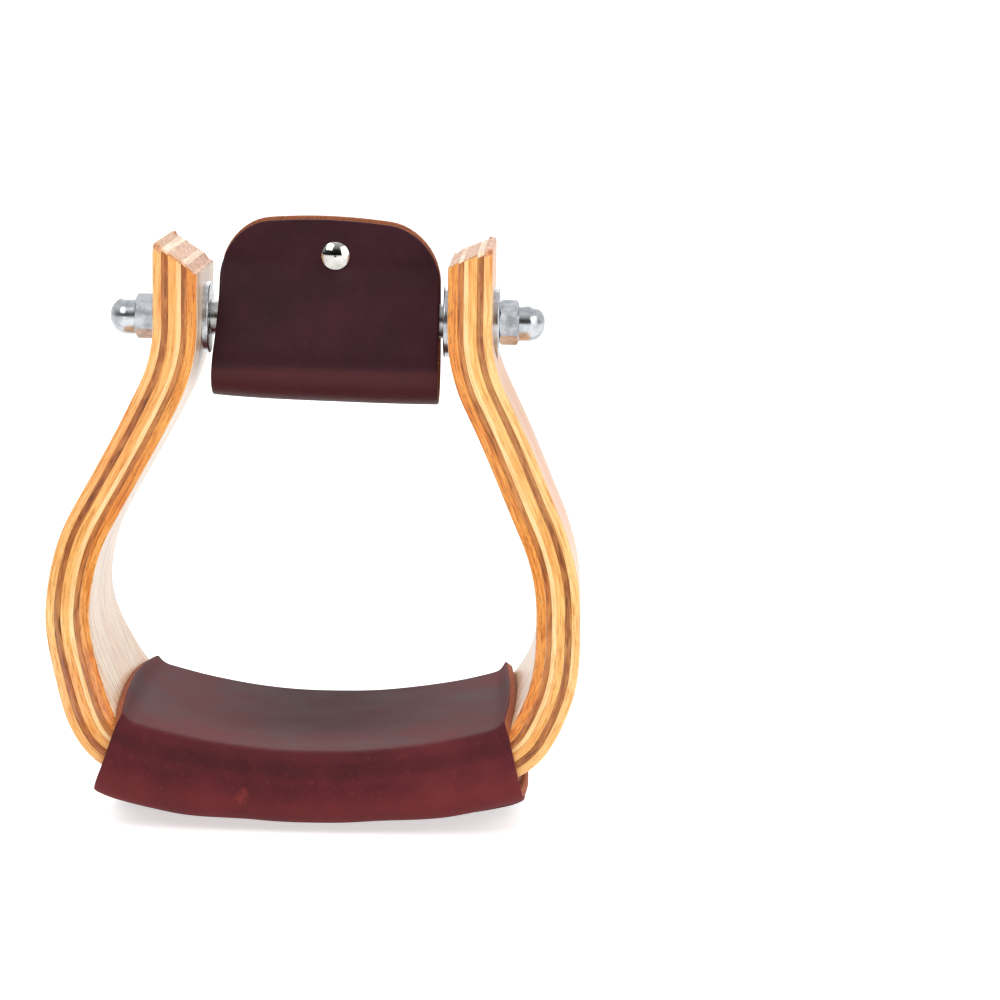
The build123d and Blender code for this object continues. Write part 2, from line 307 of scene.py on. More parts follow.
@dataclass(frozen=True)
class Veneer(Finish):
    """Sliced or peeled hardwood veneer under hand-brushed amber spar varnish.

    The pattern lies in the strip's own flat layout: along it, across it and through it.
    The varnish deepens the wood to honey and leaves a soft gloss that fills the pores.
    """

    pale: str
    middle: str
    deep: str
    streak_scale: tuple[float, float, float]  # per metre, along, across and through the strip
    fleck_scale: tuple[float, float, float]
    fleck: str = "#8A4A1C"
    fleck_amount: float = 0.45
    fleck_from: float = 0.55
    shade: str = "#F0A050"
    shade_amount: float = 0.4
    ring: float = 0.0  # spacing of the growth rings across the strip, or nought for none
    ring_depth: float = 0.34
    ring_wander: float = 3.2  # how many rings' width they stray along the strip
    wander: float = 1.2 * MM
    relief: float = 0.1 * MM
    coat: float = 0.35
    coat_rough: float = 0.16
    bands: tuple[tuple[float, float, str, float], ...] = ()  # start, full, colour and amount

    def tone_bands(
        self, tree: Tree, flat: Socket, colour: Socket
    ) -> Socket:
        """Shift the tone towards the foot, by distance along the strip from its middle.

        Args:
            tree: Node tree of the material.
            flat: Places in the flat strip.
            colour: The colour before the shift.

        Returns:
            The colour after it.
        """
        along = add_node(tree, "ShaderNodeSeparateXYZ", links={0: flat}).outputs["X"]
        away = add_sum(tree, "ABSOLUTE", along)
        for start, full, tone, amount in self.bands:
            near = add_range(tree, away, start, full, top=amount)
            colour = add_blend(tree, near, colour, tone, "MULTIPLY")
        return colour

    def ring_fall(
        self, tree: Tree, flat: Socket
    ) -> Socket:
        """Count the growth rings across the strip.

        Args:
            tree: Node tree of the material.
            flat: Places in the flat strip.

        Returns:
            How far each point lies from porous earlywood to dense latewood, nought to one.
        """
        wave = add_noise(tree, add_scaled(tree, flat, (5.5, 42.0, 0.0)), 1.0, 3.0, 0.4)
        across = add_node(tree, "ShaderNodeSeparateXYZ", links={0: flat}).outputs["Y"]
        count = add_sum(tree, "MULTIPLY", across, 1 / self.ring)
        bent = add_sum(tree, "MULTIPLY_ADD", wave.outputs["Fac"], self.ring_wander, count)
        return add_sum(tree, "FRACT", bent)

    def dress(self, tree: Tree, shader: bpy.types.Node) -> None:
        """Lay streaks, growth rings, flecks and slow changes of tone, under a clear coat.

        Args:
            tree: Node tree of the material.
            shader: Its shader.
        """
        flat = add_attribute(tree, "layout", "Vector")
        drift = add_noise(tree, add_scaled(tree, flat, (16.0, 60.0, 60.0)), 1.0, 2.0)
        centred = add_node(tree, "ShaderNodeVectorMath",
                           {"operation": "SUBTRACT", 1: (0.5, 0.5, 0.5)},
                           {0: drift.outputs["Color"]}).outputs["Vector"]
        moved = add_node(tree, "ShaderNodeVectorMath",
                         {"operation": "MULTIPLY_ADD", 1: (0.0, self.wander, self.wander / 3)},
                         {0: centred, 2: flat}).outputs["Vector"]
        streak = add_noise(tree, add_scaled(tree, moved, self.streak_scale), 1.0, 5.0, 0.66)
        figure = streak.outputs["Fac"]
        speck = add_noise(tree, add_scaled(tree, moved, self.fleck_scale), 1.0, 3.0, 0.6)
        mask = add_range(tree, speck.outputs["Fac"], self.fleck_from, self.fleck_from + 0.10,
                         top=self.fleck_amount)
        if self.ring:
            fall = self.ring_fall(tree, moved)
            lean = add_sum(tree, "MULTIPLY_ADD", fall, self.ring_depth, -self.ring_depth / 2)
            figure = add_sum(tree, "ADD", figure, lean)
            early = add_range(tree, fall, 0.75, 0.10, bottom=0.15)
            mask = add_sum(tree, "MULTIPLY", mask, early)
        wood = add_ramp(tree, figure, ((0.34, self.deep), (0.47, self.middle), (0.60, self.pale)))
        marked = add_blend(tree, mask, wood, self.fleck)
        tone = add_range(tree, drift.outputs["Fac"], 0.42, 0.66, top=self.shade_amount)
        toned = add_blend(tree, tone, marked, self.shade, "MULTIPLY")
        height = add_sum(tree, "SUBTRACT", figure, mask)
        set_shader(tree, shader, {"Base Color": self.tone_bands(tree, flat, toned),
                                  "Normal": add_relief(tree, height, 0.6, self.relief)},
                   {"Roughness": 0.5, "IOR": 1.5, "Specular IOR Level": 0.3,
                    "Coat Weight": self.coat, "Coat Roughness": self.coat_rough})


@dataclass(frozen=True)
class OiledLeather(Finish):
    """Drum-dyed oxblood harness leather, oiled and hand-rubbed: a dull waxy sheen over pores."""

    base: str
    dark: str
    light: str
    # colour of scuffs and of the rubbed spot, and also of the painted light (painted highlight and
    # painted bounce light) that the mesh's share lays on
    scuff_and_painted_light: str
    scuff_amount: float
    roughness: float = 0.5
    shine: float = 0.2
    painted_shade_tone: str = "#2A1012"  # painted shade: under the front ridge, over the middle and back of the top, and in a band above the sleeve's fold
    painted_shade_matt: float = 0.12  # how much rougher the leather is where the painted shade lies
    rub_place: tuple[float, float, float] = (0.0, 0.0, -1.0)  # one place rubbed through the dye
    rub_radius: float = 5.0 * MM
    rub_amount: float = 0.55
    grit: float = 0.55 * MM  # pores drawn a little coarser than real, so that they show

    def dress(self, tree: Tree, shader: bpy.types.Node) -> None:
        """Lay mottled dye, small scuffs, pores, and the painted shade and painted light that the
        mesh carries.

        Args:
            tree: Node tree of the material.
            shader: Its shader.
        """
        place = add_node(tree, "ShaderNodeTexCoord").outputs["Object"]
        mottle = add_noise(tree, place, 38.0, 6.0, 0.62).outputs["Fac"]
        dye = add_ramp(tree, mottle, ((0.30, self.dark), (0.50, self.base), (0.72, self.light)))
        rubbed = add_noise(tree, place, 520.0, 5.0, 0.75).outputs["Fac"]
        scuffed = add_blend(tree, add_range(tree, rubbed, 0.56, 0.74, top=self.scuff_amount), dye,
                            self.scuff_and_painted_light)
        away = add_node(tree, "ShaderNodeVectorMath", {"operation": "DISTANCE", 1: self.rub_place},
                        {0: place}).outputs["Value"]
        ragged = add_sum(tree, "MULTIPLY_ADD", rubbed, 3 * self.rub_radius, away)
        rub = add_range(tree, ragged, 2.3 * self.rub_radius, 1.7 * self.rub_radius,
                        top=self.rub_amount)
        rubbed_through = add_blend(tree, rub, scuffed, self.scuff_and_painted_light)
        # painted shade, in the share that the mesh carries, darkens the colour below and roughens
        # it
        painted_shade = add_attribute(tree, "painted_shade", "Fac")
        # painted light: a paler tone laid on in the share that the mesh carries
        bounce_lit = add_blend(tree, add_attribute(tree, "painted_light", "Fac"), rubbed_through,
                              self.scuff_and_painted_light)
        pores = add_node(tree, "ShaderNodeTexVoronoi", {"Scale": 1 / self.grit}, {"Vector": place})
        wrinkle = add_noise(tree, place, 420.0, 5.0).outputs["Fac"]
        height = add_sum(tree, "MULTIPLY_ADD", pores.outputs["Distance"], 0.35, wrinkle)
        rough = add_range(tree, mottle, 0.3, 0.7, self.roughness - 0.06, self.roughness + 0.08)
        set_shader(tree, shader, {
            "Base Color": add_blend(tree, painted_shade, bounce_lit, self.painted_shade_tone),
            "Normal": add_relief(tree, height, 0.6, 0.14 * MM),
            "Roughness": add_sum(tree, "MULTIPLY_ADD", painted_shade, self.painted_shade_matt, rough),
        }, {"IOR": 1.48, "Specular IOR Level": self.shine})


@dataclass(frozen=True)
class RawLeather(Finish):
    """Knife-cut or flesh-side leather: unfinished orange-brown fibres, quite matt."""

    base: str
    dark: str

    def dress(self, tree: Tree, shader: bpy.types.Node) -> None:
        """Lay short fibres that are rough to the touch.

        Args:
            tree: Node tree of the material.
            shader: Its shader.
        """
        place = add_node(tree, "ShaderNodeTexCoord").outputs["Object"]
        fibre = add_noise(tree, place, 1500.0, 4.0, 0.7).outputs["Fac"]
        set_shader(tree, shader, {
            "Base Color": add_ramp(tree, fibre, ((0.32, self.dark), (0.62, self.base))),
            "Normal": add_relief(tree, fibre, 0.6, 0.2 * MM),
        }, {"Roughness": 0.85, "IOR": 1.45})


@dataclass(frozen=True)
class PlatedSteel(Finish):
    """Zinc or nickel plate on steel: bright, faintly clouded, and tumbled in the barrel."""

    pale: str
    dull: str
    smooth: float
    rough: float

    def dress(self, tree: Tree, shader: bpy.types.Node) -> None:
        """Lay cloudy plating with small changes of gloss.

        Args:
            tree: Node tree of the material.
            shader: Its shader.
        """
        place = add_node(tree, "ShaderNodeTexCoord").outputs["Object"]
        cloud = add_noise(tree, place, 260.0, 4.0, 0.6).outputs["Fac"]
        dents = add_noise(tree, place, 900.0, 2.0).outputs["Fac"]
        set_shader(tree, shader, {
            "Base Color": add_ramp(tree, cloud, ((0.35, self.dull), (0.60, self.pale))),
            "Roughness": add_range(tree, cloud, 0.3, 0.7, self.rough, self.smooth),
            "Normal": add_relief(tree, dents, 0.15, 0.05 * MM),
        }, {"Metallic": 1.0})


@dataclass(frozen=True)
class StudioPaper(Finish):
    """Seamless white background paper, lit from inside itself so that it stays plain."""

    shown: str = "#FAFAFA"
    reflected: str = "#E2E2E2"
    glow_shown: float = 0.6
    glow_reflected: float = 0.4

    def dress(self, tree: Tree, shader: bpy.types.Node) -> None:
        """Set a matt white that keeps only a faint shadow.

        Args:
            tree: Node tree of the material.
            shader: Its shader.
        """
        seen = add_node(tree, "ShaderNodeLightPath").outputs["Is Camera Ray"]
        tone = add_node(tree, "ShaderNodeMix",
                        {"data_type": "RGBA", MIX_A: linear(self.reflected),
                         MIX_B: linear(self.shown)}, {MIX_FACTOR: seen}).outputs[MIX_RESULT]
        glow = add_range(tree, seen, 0.0, 1.0, self.glow_reflected, self.glow_shown)
        set_shader(tree, shader, {"Base Color": tone, "Emission Strength": glow},
                   {"Roughness": 0.9, "Emission Color": linear("#FFFFFF")})


LONG_GRAIN = (16.0, 620.0, 900.0)
PORES = (190.0, 2900.0, 2600.0)
WIDE_PORES = (130.0, 1500.0, 2600.0)
SAWN_ALONG = (70.0, 260.0, 1500.0)
SAWN_FLECKS = (330.0, 500.0, 2200.0)
CROSS_SIDE = (150.0, 60.0, 1100.0)
CROSS_VOIDS = (60.0, 50.0, 620.0)
LONG_END = (900.0, 260.0, 700.0)
CROSS_END = (300.0, 30.0, 900.0)
END_FLECKS = (520.0, 160.0, 900.0)

OUTER_VENEER = Veneer("varnished_ash_face", "#FFE29A", "#FACE82", "#DEA252", LONG_GRAIN, PORES,
                      fleck="#AE6228", fleck_amount=0.6, fleck_from=0.53, shade="#FFC880",
                      shade_amount=0.6, ring=3.6 * MM, ring_depth=0.25, coat=1.0, coat_rough=0.3,
                      bands=((0.104, 0.134, "#FAE0EA", 1.0), (0.0748, 0.0705, "#F4BC3C", 0.9)))
# its near-white tone is partly the pale ash and partly painted reflection: the glare of the
# varnish at grazing angles
INNER_VENEER = Veneer("ash_face_with_painted_glare", "#FFECD2", "#FBDAB4", "#D8A270", LONG_GRAIN, WIDE_PORES,
                      fleck="#9A5630", fleck_amount=0.85, fleck_from=0.52, shade="#FFE0BC",
                      ring=2.9 * MM, ring_depth=0.2, coat=1.0, coat_rough=0.3)
OUTER_FACE_SIDE = Veneer("ash_side_golden", "#FFDA96", "#FBC478", "#DD944A", SAWN_ALONG,
                         SAWN_FLECKS, fleck="#B87434", fleck_amount=0.3)
OUTER_CROSS_SIDE = Veneer("cross_ply_side_brown", "#C4864A", "#AC6A36", "#8A4C24", CROSS_SIDE,
                          CROSS_VOIDS, fleck="#54280F", fleck_amount=0.8)
AMBER_SIDE = Veneer("core_side_amber", "#FFCE80", "#F6B664", "#D68C42", SAWN_ALONG, SAWN_FLECKS,
                    fleck="#B8702F", fleck_amount=0.3)
CREAM_SIDE = Veneer("core_side_cream", "#FFE4AA", "#FFD390", "#EEB56C", SAWN_ALONG, SAWN_FLECKS,
                    fleck="#D09450", fleck_amount=0.2, shade_amount=0.2)
INNER_CROSS_SIDE = Veneer("cross_ply_side_tan", "#D08A4A", "#BC763A", "#965828", CROSS_SIDE,
                          CROSS_VOIDS, fleck="#6A3816", fleck_amount=0.55)
INNER_FACE_SIDE = Veneer("ash_side_orange", "#F6AE58", "#E6923E", "#BC6626", SAWN_ALONG,
                         SAWN_FLECKS, fleck="#84441A", fleck_amount=0.5)
LONG_PLY_END = Veneer("ply_end_brown", "#F0C096", "#DCA070", "#B47648", LONG_END, END_FLECKS,
                      fleck="#8A4A28")
CROSS_PLY_END = Veneer("ply_end_cream", "#FFEFD4", "#FDDFB8", "#E8B88C", CROSS_END, END_FLECKS,
                       fleck="#C88A58", fleck_amount=0.3)
SLEEVE_HIDE = OiledLeather("oxblood_sleeve_leather", "#34121C", "#280E15", "#401924", "#7A3A36",
                           scuff_amount=0.12)
TREAD_HIDE = OiledLeather("oxblood_tread_leather", "#5A1D24", "#47151B", "#6B282C", "#8E3634",
                          scuff_amount=0.4, roughness=0.63,
                          rub_place=(-23 * MM, -53 * MM, -150.5 * MM), rub_radius=3.4 * MM)
FLESH_SIDE = RawLeather("leather_flesh_side", "#B9764E", "#7E4630")
RAW_EDGE = RawLeather("leather_cut_edge", "#BC6A44", "#703224")
DYED_EDGE = RawLeather("leather_dyed_edge", "#9C4A38", "#4E1E20")
ZINC = PlatedSteel("bright_zinc_plate", "#D4D8DC", "#A8ACB2", 0.16, 0.30)
DRAWN_TUBE = PlatedSteel("drawn_steel_tube", "#C8C8C6", "#9C9C9A", 0.18, 0.34)
NICKEL = PlatedSteel("polished_nickel", "#DCDAD4", "#C4C2BC", 0.06, 0.12)
PAPER = StudioPaper("studio_paper")


# ---------------------------------------------------------------- bent lines and slabs


@dataclass(frozen=True)
class BentLine:
    """Straight runs and round bends in one plane, end to end, as a strip is bent on a former.

    A step is (length, 0) for a run, or (radius, turn) for a bend, with the turn in radians.
    A positive offset lies to the left of the way the line runs.
    """

    start: tuple[float, float]
    heading: float
    steps: tuple[tuple[float, float], ...]

    def spans(self) -> list[tuple[float, float, float, float, float, float]]:
        """Follow the steps from the start.

        Returns:
            Start distance, length, heading, two coordinates and signed radius of each step.
        """
        found = []
        angle, (x, y), done = self.heading, self.start, 0.0
        for size, turn in self.steps:
            length = size * abs(turn) if turn else size
            radius = math.copysign(size, turn) if turn else 0.0
            found.append((done, length, angle, x, y, radius))
            if turn:
                x += radius * (math.sin(angle + turn) - math.sin(angle))
                y -= radius * (math.cos(angle + turn) - math.cos(angle))
                angle += turn
            else:
                x += length * math.cos(angle)
                y += length * math.sin(angle)
            done += length
        return found

    def length(self) -> float:
        """Return the whole length along the line."""
        done, length, *_ = self.spans()[-1]
        return done + length

    def place(self, along: np.ndarray, offset: np.ndarray) -> tuple[np.ndarray, np.ndarray]:
        """Turn distances along and beside the line into places in its plane.

        Args:
            along: Distances along the line.
            offset: Distances to its left.

        Returns:
            Both coordinates in the plane.
        """
        along, offset = np.broadcast_arrays(np.asarray(along, float), np.asarray(offset, float))
        across, up = np.zeros(along.shape), np.zeros(along.shape)
        spans = self.spans()
        for number, (done, length, angle, x, y, radius) in enumerate(spans):
            here = np.ones(along.shape, bool)
            if number:
                here &= along >= done
            if number < len(spans) - 1:
                here &= along < done + length
            run = along[here] - done
            side = offset[here]
            if radius:
                turned = angle + run / radius
                across[here] = x - radius * math.sin(angle) + (radius - side) * np.sin(turned)
                up[here] = y + radius * math.cos(angle) - (radius - side) * np.cos(turned)
            else:
                across[here] = x + run * math.cos(angle) - side * math.sin(angle)
                up[here] = y + run * math.sin(angle) + side * math.cos(angle)
        return across, up

    def headings(self, along: np.ndarray) -> np.ndarray:
        """Find the way the line runs.

        Args:
            along: Distances along the line.

        Returns:
            Headings in radians.
        """
        result = np.full(along.shape, self.heading)
        for done, length, angle, _, _, radius in self.spans():
            here = along >= done
            run = np.minimum(along[here] - done, length)
            result[here] = angle + (run / radius if radius else 0.0)
        return result

    def locate(self, across: np.ndarray, up: np.ndarray) -> tuple[np.ndarray, np.ndarray]:
        """Find distances along and beside the line for places in its plane.

        Args:
            across: First coordinates.
            up: Second coordinates.

        Returns:
            Distances along the line and offsets from it.
        """
        best = np.full(across.shape, np.inf)
        along, offset = np.zeros(across.shape), np.zeros(across.shape)
        for done, length, angle, x, y, radius in self.spans():
            if radius:
                side = math.copysign(1.0, radius)
                dx = across - (x - radius * math.sin(angle))
                dy = up - (y + radius * math.cos(angle))
                turned = np.arctan2(side * dx, -side * dy) - angle
                turned = (turned + math.pi) % (2 * math.pi) - math.pi
                run, beside = turned * radius, radius - side * np.hypot(dx, dy)
            else:
                dx, dy = across - x, up - y
                run = dx * math.cos(angle) + dy * math.sin(angle)
                beside = dy * math.cos(angle) - dx * math.sin(angle)
            outside = np.maximum(0, np.maximum(-run, run - length))
            score = 100 * outside + np.abs(beside)
            better = score < best
            best = np.where(better, score, best)
            along = np.where(better, done + run, along)
            offset = np.where(better, beside, offset)
        return along, offset


def smooth_step(value: np.ndarray, low: float, high: float) -> np.ndarray:
    """Rise smoothly from nought at low to one at high."""
    t = np.clip((value - low) / (high - low), 0, 1)
    return t * t * (3 - 2 * t)


def arris(distance: np.ndarray, radius: float) -> np.ndarray:
    """Return how far a rounded arris has dropped at a distance in from its edge."""
    inward = np.clip(radius - distance, 0, radius)
    return radius - np.sqrt(np.maximum(radius * radius - inward * inward, 0))


def stations(length: float, step: float, close: Sequence[float]) -> np.ndarray:
    """Spread stations over a length, with closer ones near both ends.

    Args:
        length: Whole length.
        step: Usual spacing.
        close: Distances of the closer stations from each end.

    Returns:
        Stations in order, from nought to the length.
    """
    near = np.array(close)
    count = max(2, round((length - 2 * near[-1]) / step) + 1)
    inner = np.linspace(near[-1], length - near[-1], count)
    return np.concatenate([near[:-1], inner, length - near[:-1][::-1]])


@dataclass
class Slab:
    """Flat sheet with thickness, gridded so that it can be bent to shape.

    Its vertices know their column, row and layer; layer nought is the under side.
    """

    name: str
    columns: int
    rows: int

    def __post_init__(self) -> None:
        """Add the sheet as a grid, and extrude it to its thickness."""
        bpy.ops.object.select_all(action="DESELECT")
        bpy.ops.mesh.primitive_grid_add(
            x_subdivisions=self.columns - 1, y_subdivisions=self.rows - 1, size=1.0)
        self.piece = bpy.context.object
        self.piece.name = self.piece.data.name = self.name
        bpy.ops.object.mode_set(mode="EDIT")
        bpy.ops.mesh.select_all(action="SELECT")
        bpy.ops.mesh.extrude_region_move(TRANSFORM_OT_translate={"value": (0, 0, 1)})
        bpy.ops.mesh.select_all(action="SELECT")
        bpy.ops.mesh.normals_make_consistent(inside=False)
        bpy.ops.object.mode_set(mode="OBJECT")
        places = read_points(self.piece)
        self.column = np.rint((places[:, 0] + 0.5) * (self.columns - 1)).astype(int)
        self.row = np.rint((places[:, 1] + 0.5) * (self.rows - 1)).astype(int)
        self.layer = np.rint(places[:, 2]).astype(int)

    def bend(self, places: np.ndarray, layout: np.ndarray) -> None:
        """Move every vertex to its final place, and keep its place in the flat sheet.

        Args:
            places: Final places.
            layout: Places in the flat sheet, along, across and through it.
        """
        write_points(self.piece, places)
        write_layout(self.piece, layout)
        make_normals_outward(self.piece)

    def sides(self) -> np.ndarray:
        """Tell the outer layer, the inner layer and the cut edges apart.

        Returns:
            The Hide number of each face.
        """
        kinds = []
        for face in self.piece.data.polygons:
            layers = {int(self.layer[v]) for v in face.vertices}
            if layers == {1}:
                kinds.append(Hide.GRAIN.value)
            elif layers == {0}:
                kinds.append(Hide.FLESH.value)
            else:
                kinds.append(Hide.RAW_EDGE.value)
        return np.array(kinds)


def read_points(piece: Piece) -> np.ndarray:
    """Read a mesh's vertex places.

    Args:
        piece: Mesh object.

    Returns:
        Places of its vertices, one row each.
    """
    places = np.zeros(len(piece.data.vertices) * 3)
    piece.data.vertices.foreach_get("co", places)
    return places.reshape(-1, 3)


def write_points(piece: Piece, places: np.ndarray) -> None:
    """Put a mesh's vertices at new places."""
    piece.data.vertices.foreach_set("co", places.astype(np.float32).ravel())
    piece.data.update()


def write_layout(piece: Piece, layout: np.ndarray) -> None:
    """Store each vertex's place in the flat sheet, for the pattern to follow.

    Args:
        piece: Mesh object.
        layout: Places along, across and through the sheet, in metres.
    """
    attributes = piece.data.attributes
    stored = attributes.get("layout") or attributes.new("layout", "FLOAT_VECTOR", "POINT")
    stored.data.foreach_set("vector", layout.astype(np.float32).ravel())


def write_amount(piece: Piece, name: str, amount: np.ndarray) -> None:
    """Store one number for each vertex, for a finish to follow."""
    stored = piece.data.attributes.new(name, "FLOAT", "POINT")
    stored.data.foreach_set("value", amount.astype(np.float32))


def make_normals_outward(piece: Piece) -> None:
    """Turn every face of a closed mesh outwards.

    Args:
        piece: Mesh object.
    """
    select_only(piece)
    bpy.ops.object.mode_set(mode="EDIT")
    bpy.ops.mesh.select_all(action="SELECT")
    bpy.ops.mesh.normals_make_consistent(inside=False)
    bpy.ops.object.mode_set(mode="OBJECT")


def select_only(piece: Piece) -> None:
    """Select one object and nothing else.

    Args:
        piece: The object.
    """
    bpy.ops.object.select_all(action="DESELECT")
    piece.select_set(True)
    bpy.context.view_layer.objects.active = piece


def give_materials(piece: Piece, finishes: Sequence[Finish], kinds: np.ndarray) -> None:
    """Give each face the finish of its kind.

    Args:
        piece: Mesh object.
        finishes: Finishes in order of kind.
        kinds: Kind of each face.
    """
    piece.data.materials.clear()
    for finish in finishes:
        piece.data.materials.append(finish.material())
    piece.data.polygons.foreach_set("material_index", kinds.astype(np.int32))


def shade(piece: Piece, degrees: float) -> None:
    """Shade a mesh smooth, with edges sharper than an angle left crisp."""
    select_only(piece)
    bpy.ops.object.shade_smooth_by_angle(angle=math.radians(degrees))


def finish_hide(
    slab: Slab, finishes: Sequence[Finish], body: Body, node: str
) -> None:
    """Dress a piece of leather by its layers, shade it and ride it on its body.

    Args:
        slab: The bent sheet.
        finishes: Finishes of its grain side, flesh side and cut edges.
        body: Body that it moves with.
        node: CAD node that it stands for.
    """
    give_materials(slab.piece, finishes, slab.sides())
    shade(slab.piece, LEATHER_EDGE)
    finish_piece(slab.piece, body, node)


def finish_piece(piece: Piece, body: Body, node: str) -> None:
    """Ride a piece on its body in place of a CAD node, and log it.

    Args:
        piece: The finished piece.
        body: Body that it moves with.
        node: CAD node that it stands for.
    """
    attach(piece, body.value)
    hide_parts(node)
    LOG.info("%s: %d faces, stands for %s", piece.name, len(piece.data.polygons), node)


# ---------------------------------------------------------------- bow


@dataclass
class Bow:
    """Bentwood frame: six plies bent together into a bell, then sawn to a waisted outline."""

    neck_gap: float
    stack: float
    belly_width: float
    tread_drop: float  # bolt axis down to the middle of the wooden tread
    leg_top: float
    plies: tuple[tuple[str, float, float], ...]  # name, thickness and outer offset
    shoulder_radius: float = 54.0 * MM
    leg_slant: float = math.radians(26.1)
    belly_to_heel: float = math.radians(32.1)
    heel_radius: float = 18.0 * MM
    tread_dish: float = math.radians(15.8)
    left_bevel: float = math.radians(34.0)
    right_bevel: float = math.radians(22.0)
    neck_width: float = 56.4 * MM
    neck_taper: float = math.radians(3.0)
    tread_width: float = 100.0 * MM
    flare_angle: float = math.radians(32.0)
    flare_radius: float = 105.0 * MM
    flare_end_rise: float = 10.0 * MM
    flare_corner: float = 12.0 * MM
    end_corner: float = 5.0 * MM
    arris_radius: float = 0.8 * MM
    end_wear: float = 1.3 * MM  # rounding of the sanded leg tops
    glue_groove: float = 0.32 * MM  # rounding of each ply where it meets the next
    bolt_hole: float = 8.5 * MM
    seat: float = 24.8 * MM
    belly_sway: float = 2.0 * MM  # how far the belly leans to the left
    sway_from: tuple[float, float] = (-120 * MM, -94 * MM)  # heights over which it starts
    sway_to: tuple[float, float] = (30 * MM, 75 * MM)  # depths over which it ends
    grid_along: float = 1.7 * MM
    grid_across: float = 9.0 * MM
    side_facing: float = 0.6  # how squarely a sawn side faces front or back
    end_facing: float = 0.45  # how squarely a cut end faces along the strip

    @classmethod
    def from_frame(cls) -> "Bow":
        """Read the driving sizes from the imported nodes.

        Returns:
            The bow at those sizes.
        """
        names = ("outer_face_ply", "outer_cross_ply", "amber_core_ply", "cream_core_ply",
                 "inner_cross_ply", "inner_face_ply")
        reach = [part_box(name)[1].x for name in names]
        gap = 2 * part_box("right_inner_washer")[1].x
        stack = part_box("right_outer_washer")[0].x - gap / 2
        low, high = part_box("outer_face_ply")
        inner = reach[0] - stack
        edges = reach + [inner]
        plies = []
        for number, name in enumerate(names):
            thickness = edges[number] - edges[number + 1]
            plies.append((name, thickness, stack / 2 - (reach[0] - edges[number])))
        return cls(neck_gap=gap, stack=stack, belly_width=2 * high.x, tread_drop=-low.z - stack,
                   leg_top=high.z, plies=tuple(plies))

    def line(self) -> BentLine:
        """Work out the middle line from the driving sizes.

        Returns:
            The line, from the top of the right leg to the top of the left leg.
        """
        leg_x = (self.neck_gap + self.stack) / 2
        belly_x = (self.belly_width - self.stack) / 2
        slant, heel, dish = self.leg_slant, self.belly_to_heel, self.tread_dish
        half_dish = math.tan(dish / 2)
        across = belly_x - leg_x - self.shoulder_radius * (1 - math.cos(slant))
        down = self.tread_drop + self.stack / 2 - self.shoulder_radius * math.sin(slant)
        down -= self.heel_radius * (
            math.cos(dish) - math.sin(heel) + (math.sin(dish) - math.cos(heel)) * half_dish)
        down -= belly_x * half_dish
        belly_across = 1 - math.cos(slant)
        belly_down = math.sin(slant) + math.sin(heel) - (1 - math.cos(heel)) * half_dish
        scale = math.sin(slant) * belly_down - math.cos(slant) * belly_across
        run = (across * belly_down - down * belly_across) / scale
        belly = (down * math.sin(slant) - across * math.cos(slant)) / scale
        heel_x = belly_x - (belly - (belly - self.heel_radius) * math.cos(heel))
        tread = (heel_x + self.heel_radius * math.sin(dish)) / math.sin(dish)
        half = (
            (self.leg_top, 0.0),
            (self.shoulder_radius, slant),
            (run, 0.0),
            (belly, -slant - heel),
            (self.heel_radius, -(math.pi / 2 - dish - heel)),
        )
        steps = half + ((tread, -2 * dish),) + half[::-1]
        return BentLine((leg_x, self.leg_top), -math.pi / 2, steps)

    def half_width(self, height: np.ndarray) -> np.ndarray:
        """Follow the sawn outline of the bow.

        Args:
            height: Heights above the bolt axis.

        Returns:
            Half the width at each height.
        """
        taper, flare = self.neck_taper, self.flare_angle
        half_tread = self.tread_width / 2
        flare_end = self.flare_end_rise - self.tread_drop
        drop = half_tread - self.neck_width / 2
        drop += math.tan(taper) * self.leg_top + math.tan(flare) * flare_end
        waist = drop / (math.tan(flare) + math.tan(taper))
        waist_cut = self.flare_radius * math.tan((taper + flare) / 2)
        corner_cut = self.flare_corner * math.tan(flare / 2)
        outline = BentLine((self.neck_width / 2, self.leg_top), -math.pi / 2 - taper, (
            ((self.leg_top - waist) / math.cos(taper) - waist_cut, 0.0),
            (self.flare_radius, taper + flare),
            ((waist - flare_end) / math.cos(flare) - waist_cut - corner_cut, 0.0),
            (self.flare_corner, -flare),
            (self.tread_width, 0.0),
        ))
        along = np.linspace(0, outline.length(), 2000)
        across, up = outline.place(along, np.zeros(along.shape))
        width = np.interp(height, up[::-1], across[::-1])
        return width - arris(self.leg_top - height, self.end_corner)

    def build(self) -> None:
        """Make every ply and put it in place of its CAD node."""
        bore, seats = self.bolt_cutters()
        sides = (OUTER_FACE_SIDE, OUTER_CROSS_SIDE, AMBER_SIDE, CREAM_SIDE, INNER_CROSS_SIDE,
                 INNER_FACE_SIDE)
        faces = (OUTER_VENEER, *sides[1:-1], INNER_VENEER)
        ends = (LONG_PLY_END, CROSS_PLY_END, LONG_PLY_END) * 2
        last = len(self.plies) - 1
        for number, (name, thickness, outer) in enumerate(self.plies):
            piece = self.bend_ply(f"bent_{name}", thickness, outer, number == 0, number == last)
            self.cut_bolt_way(piece, (bore, seats) if number == 0 else (bore,))
            self.dress_ply(piece, (faces[number], sides[number], ends[number]))
            self.sway(piece)
            shade(piece, WOOD_EDGE)
            finish_piece(piece, Body.STIRRUP, name)
        bpy.data.objects.remove(bore)
        bpy.data.objects.remove(seats)

    def sway(self, piece: Piece) -> None:
        """Push the belly a little to the left, as the bending form left it.

        Args:
            piece: The bored and dressed ply.
        """
        places = read_points(piece)
        height = places[:, 2]
        share = smooth_step(height, *self.sway_from) * smooth_step(-height, *self.sway_to)
        places[:, 0] -= self.belly_sway * share
        write_points(piece, places)

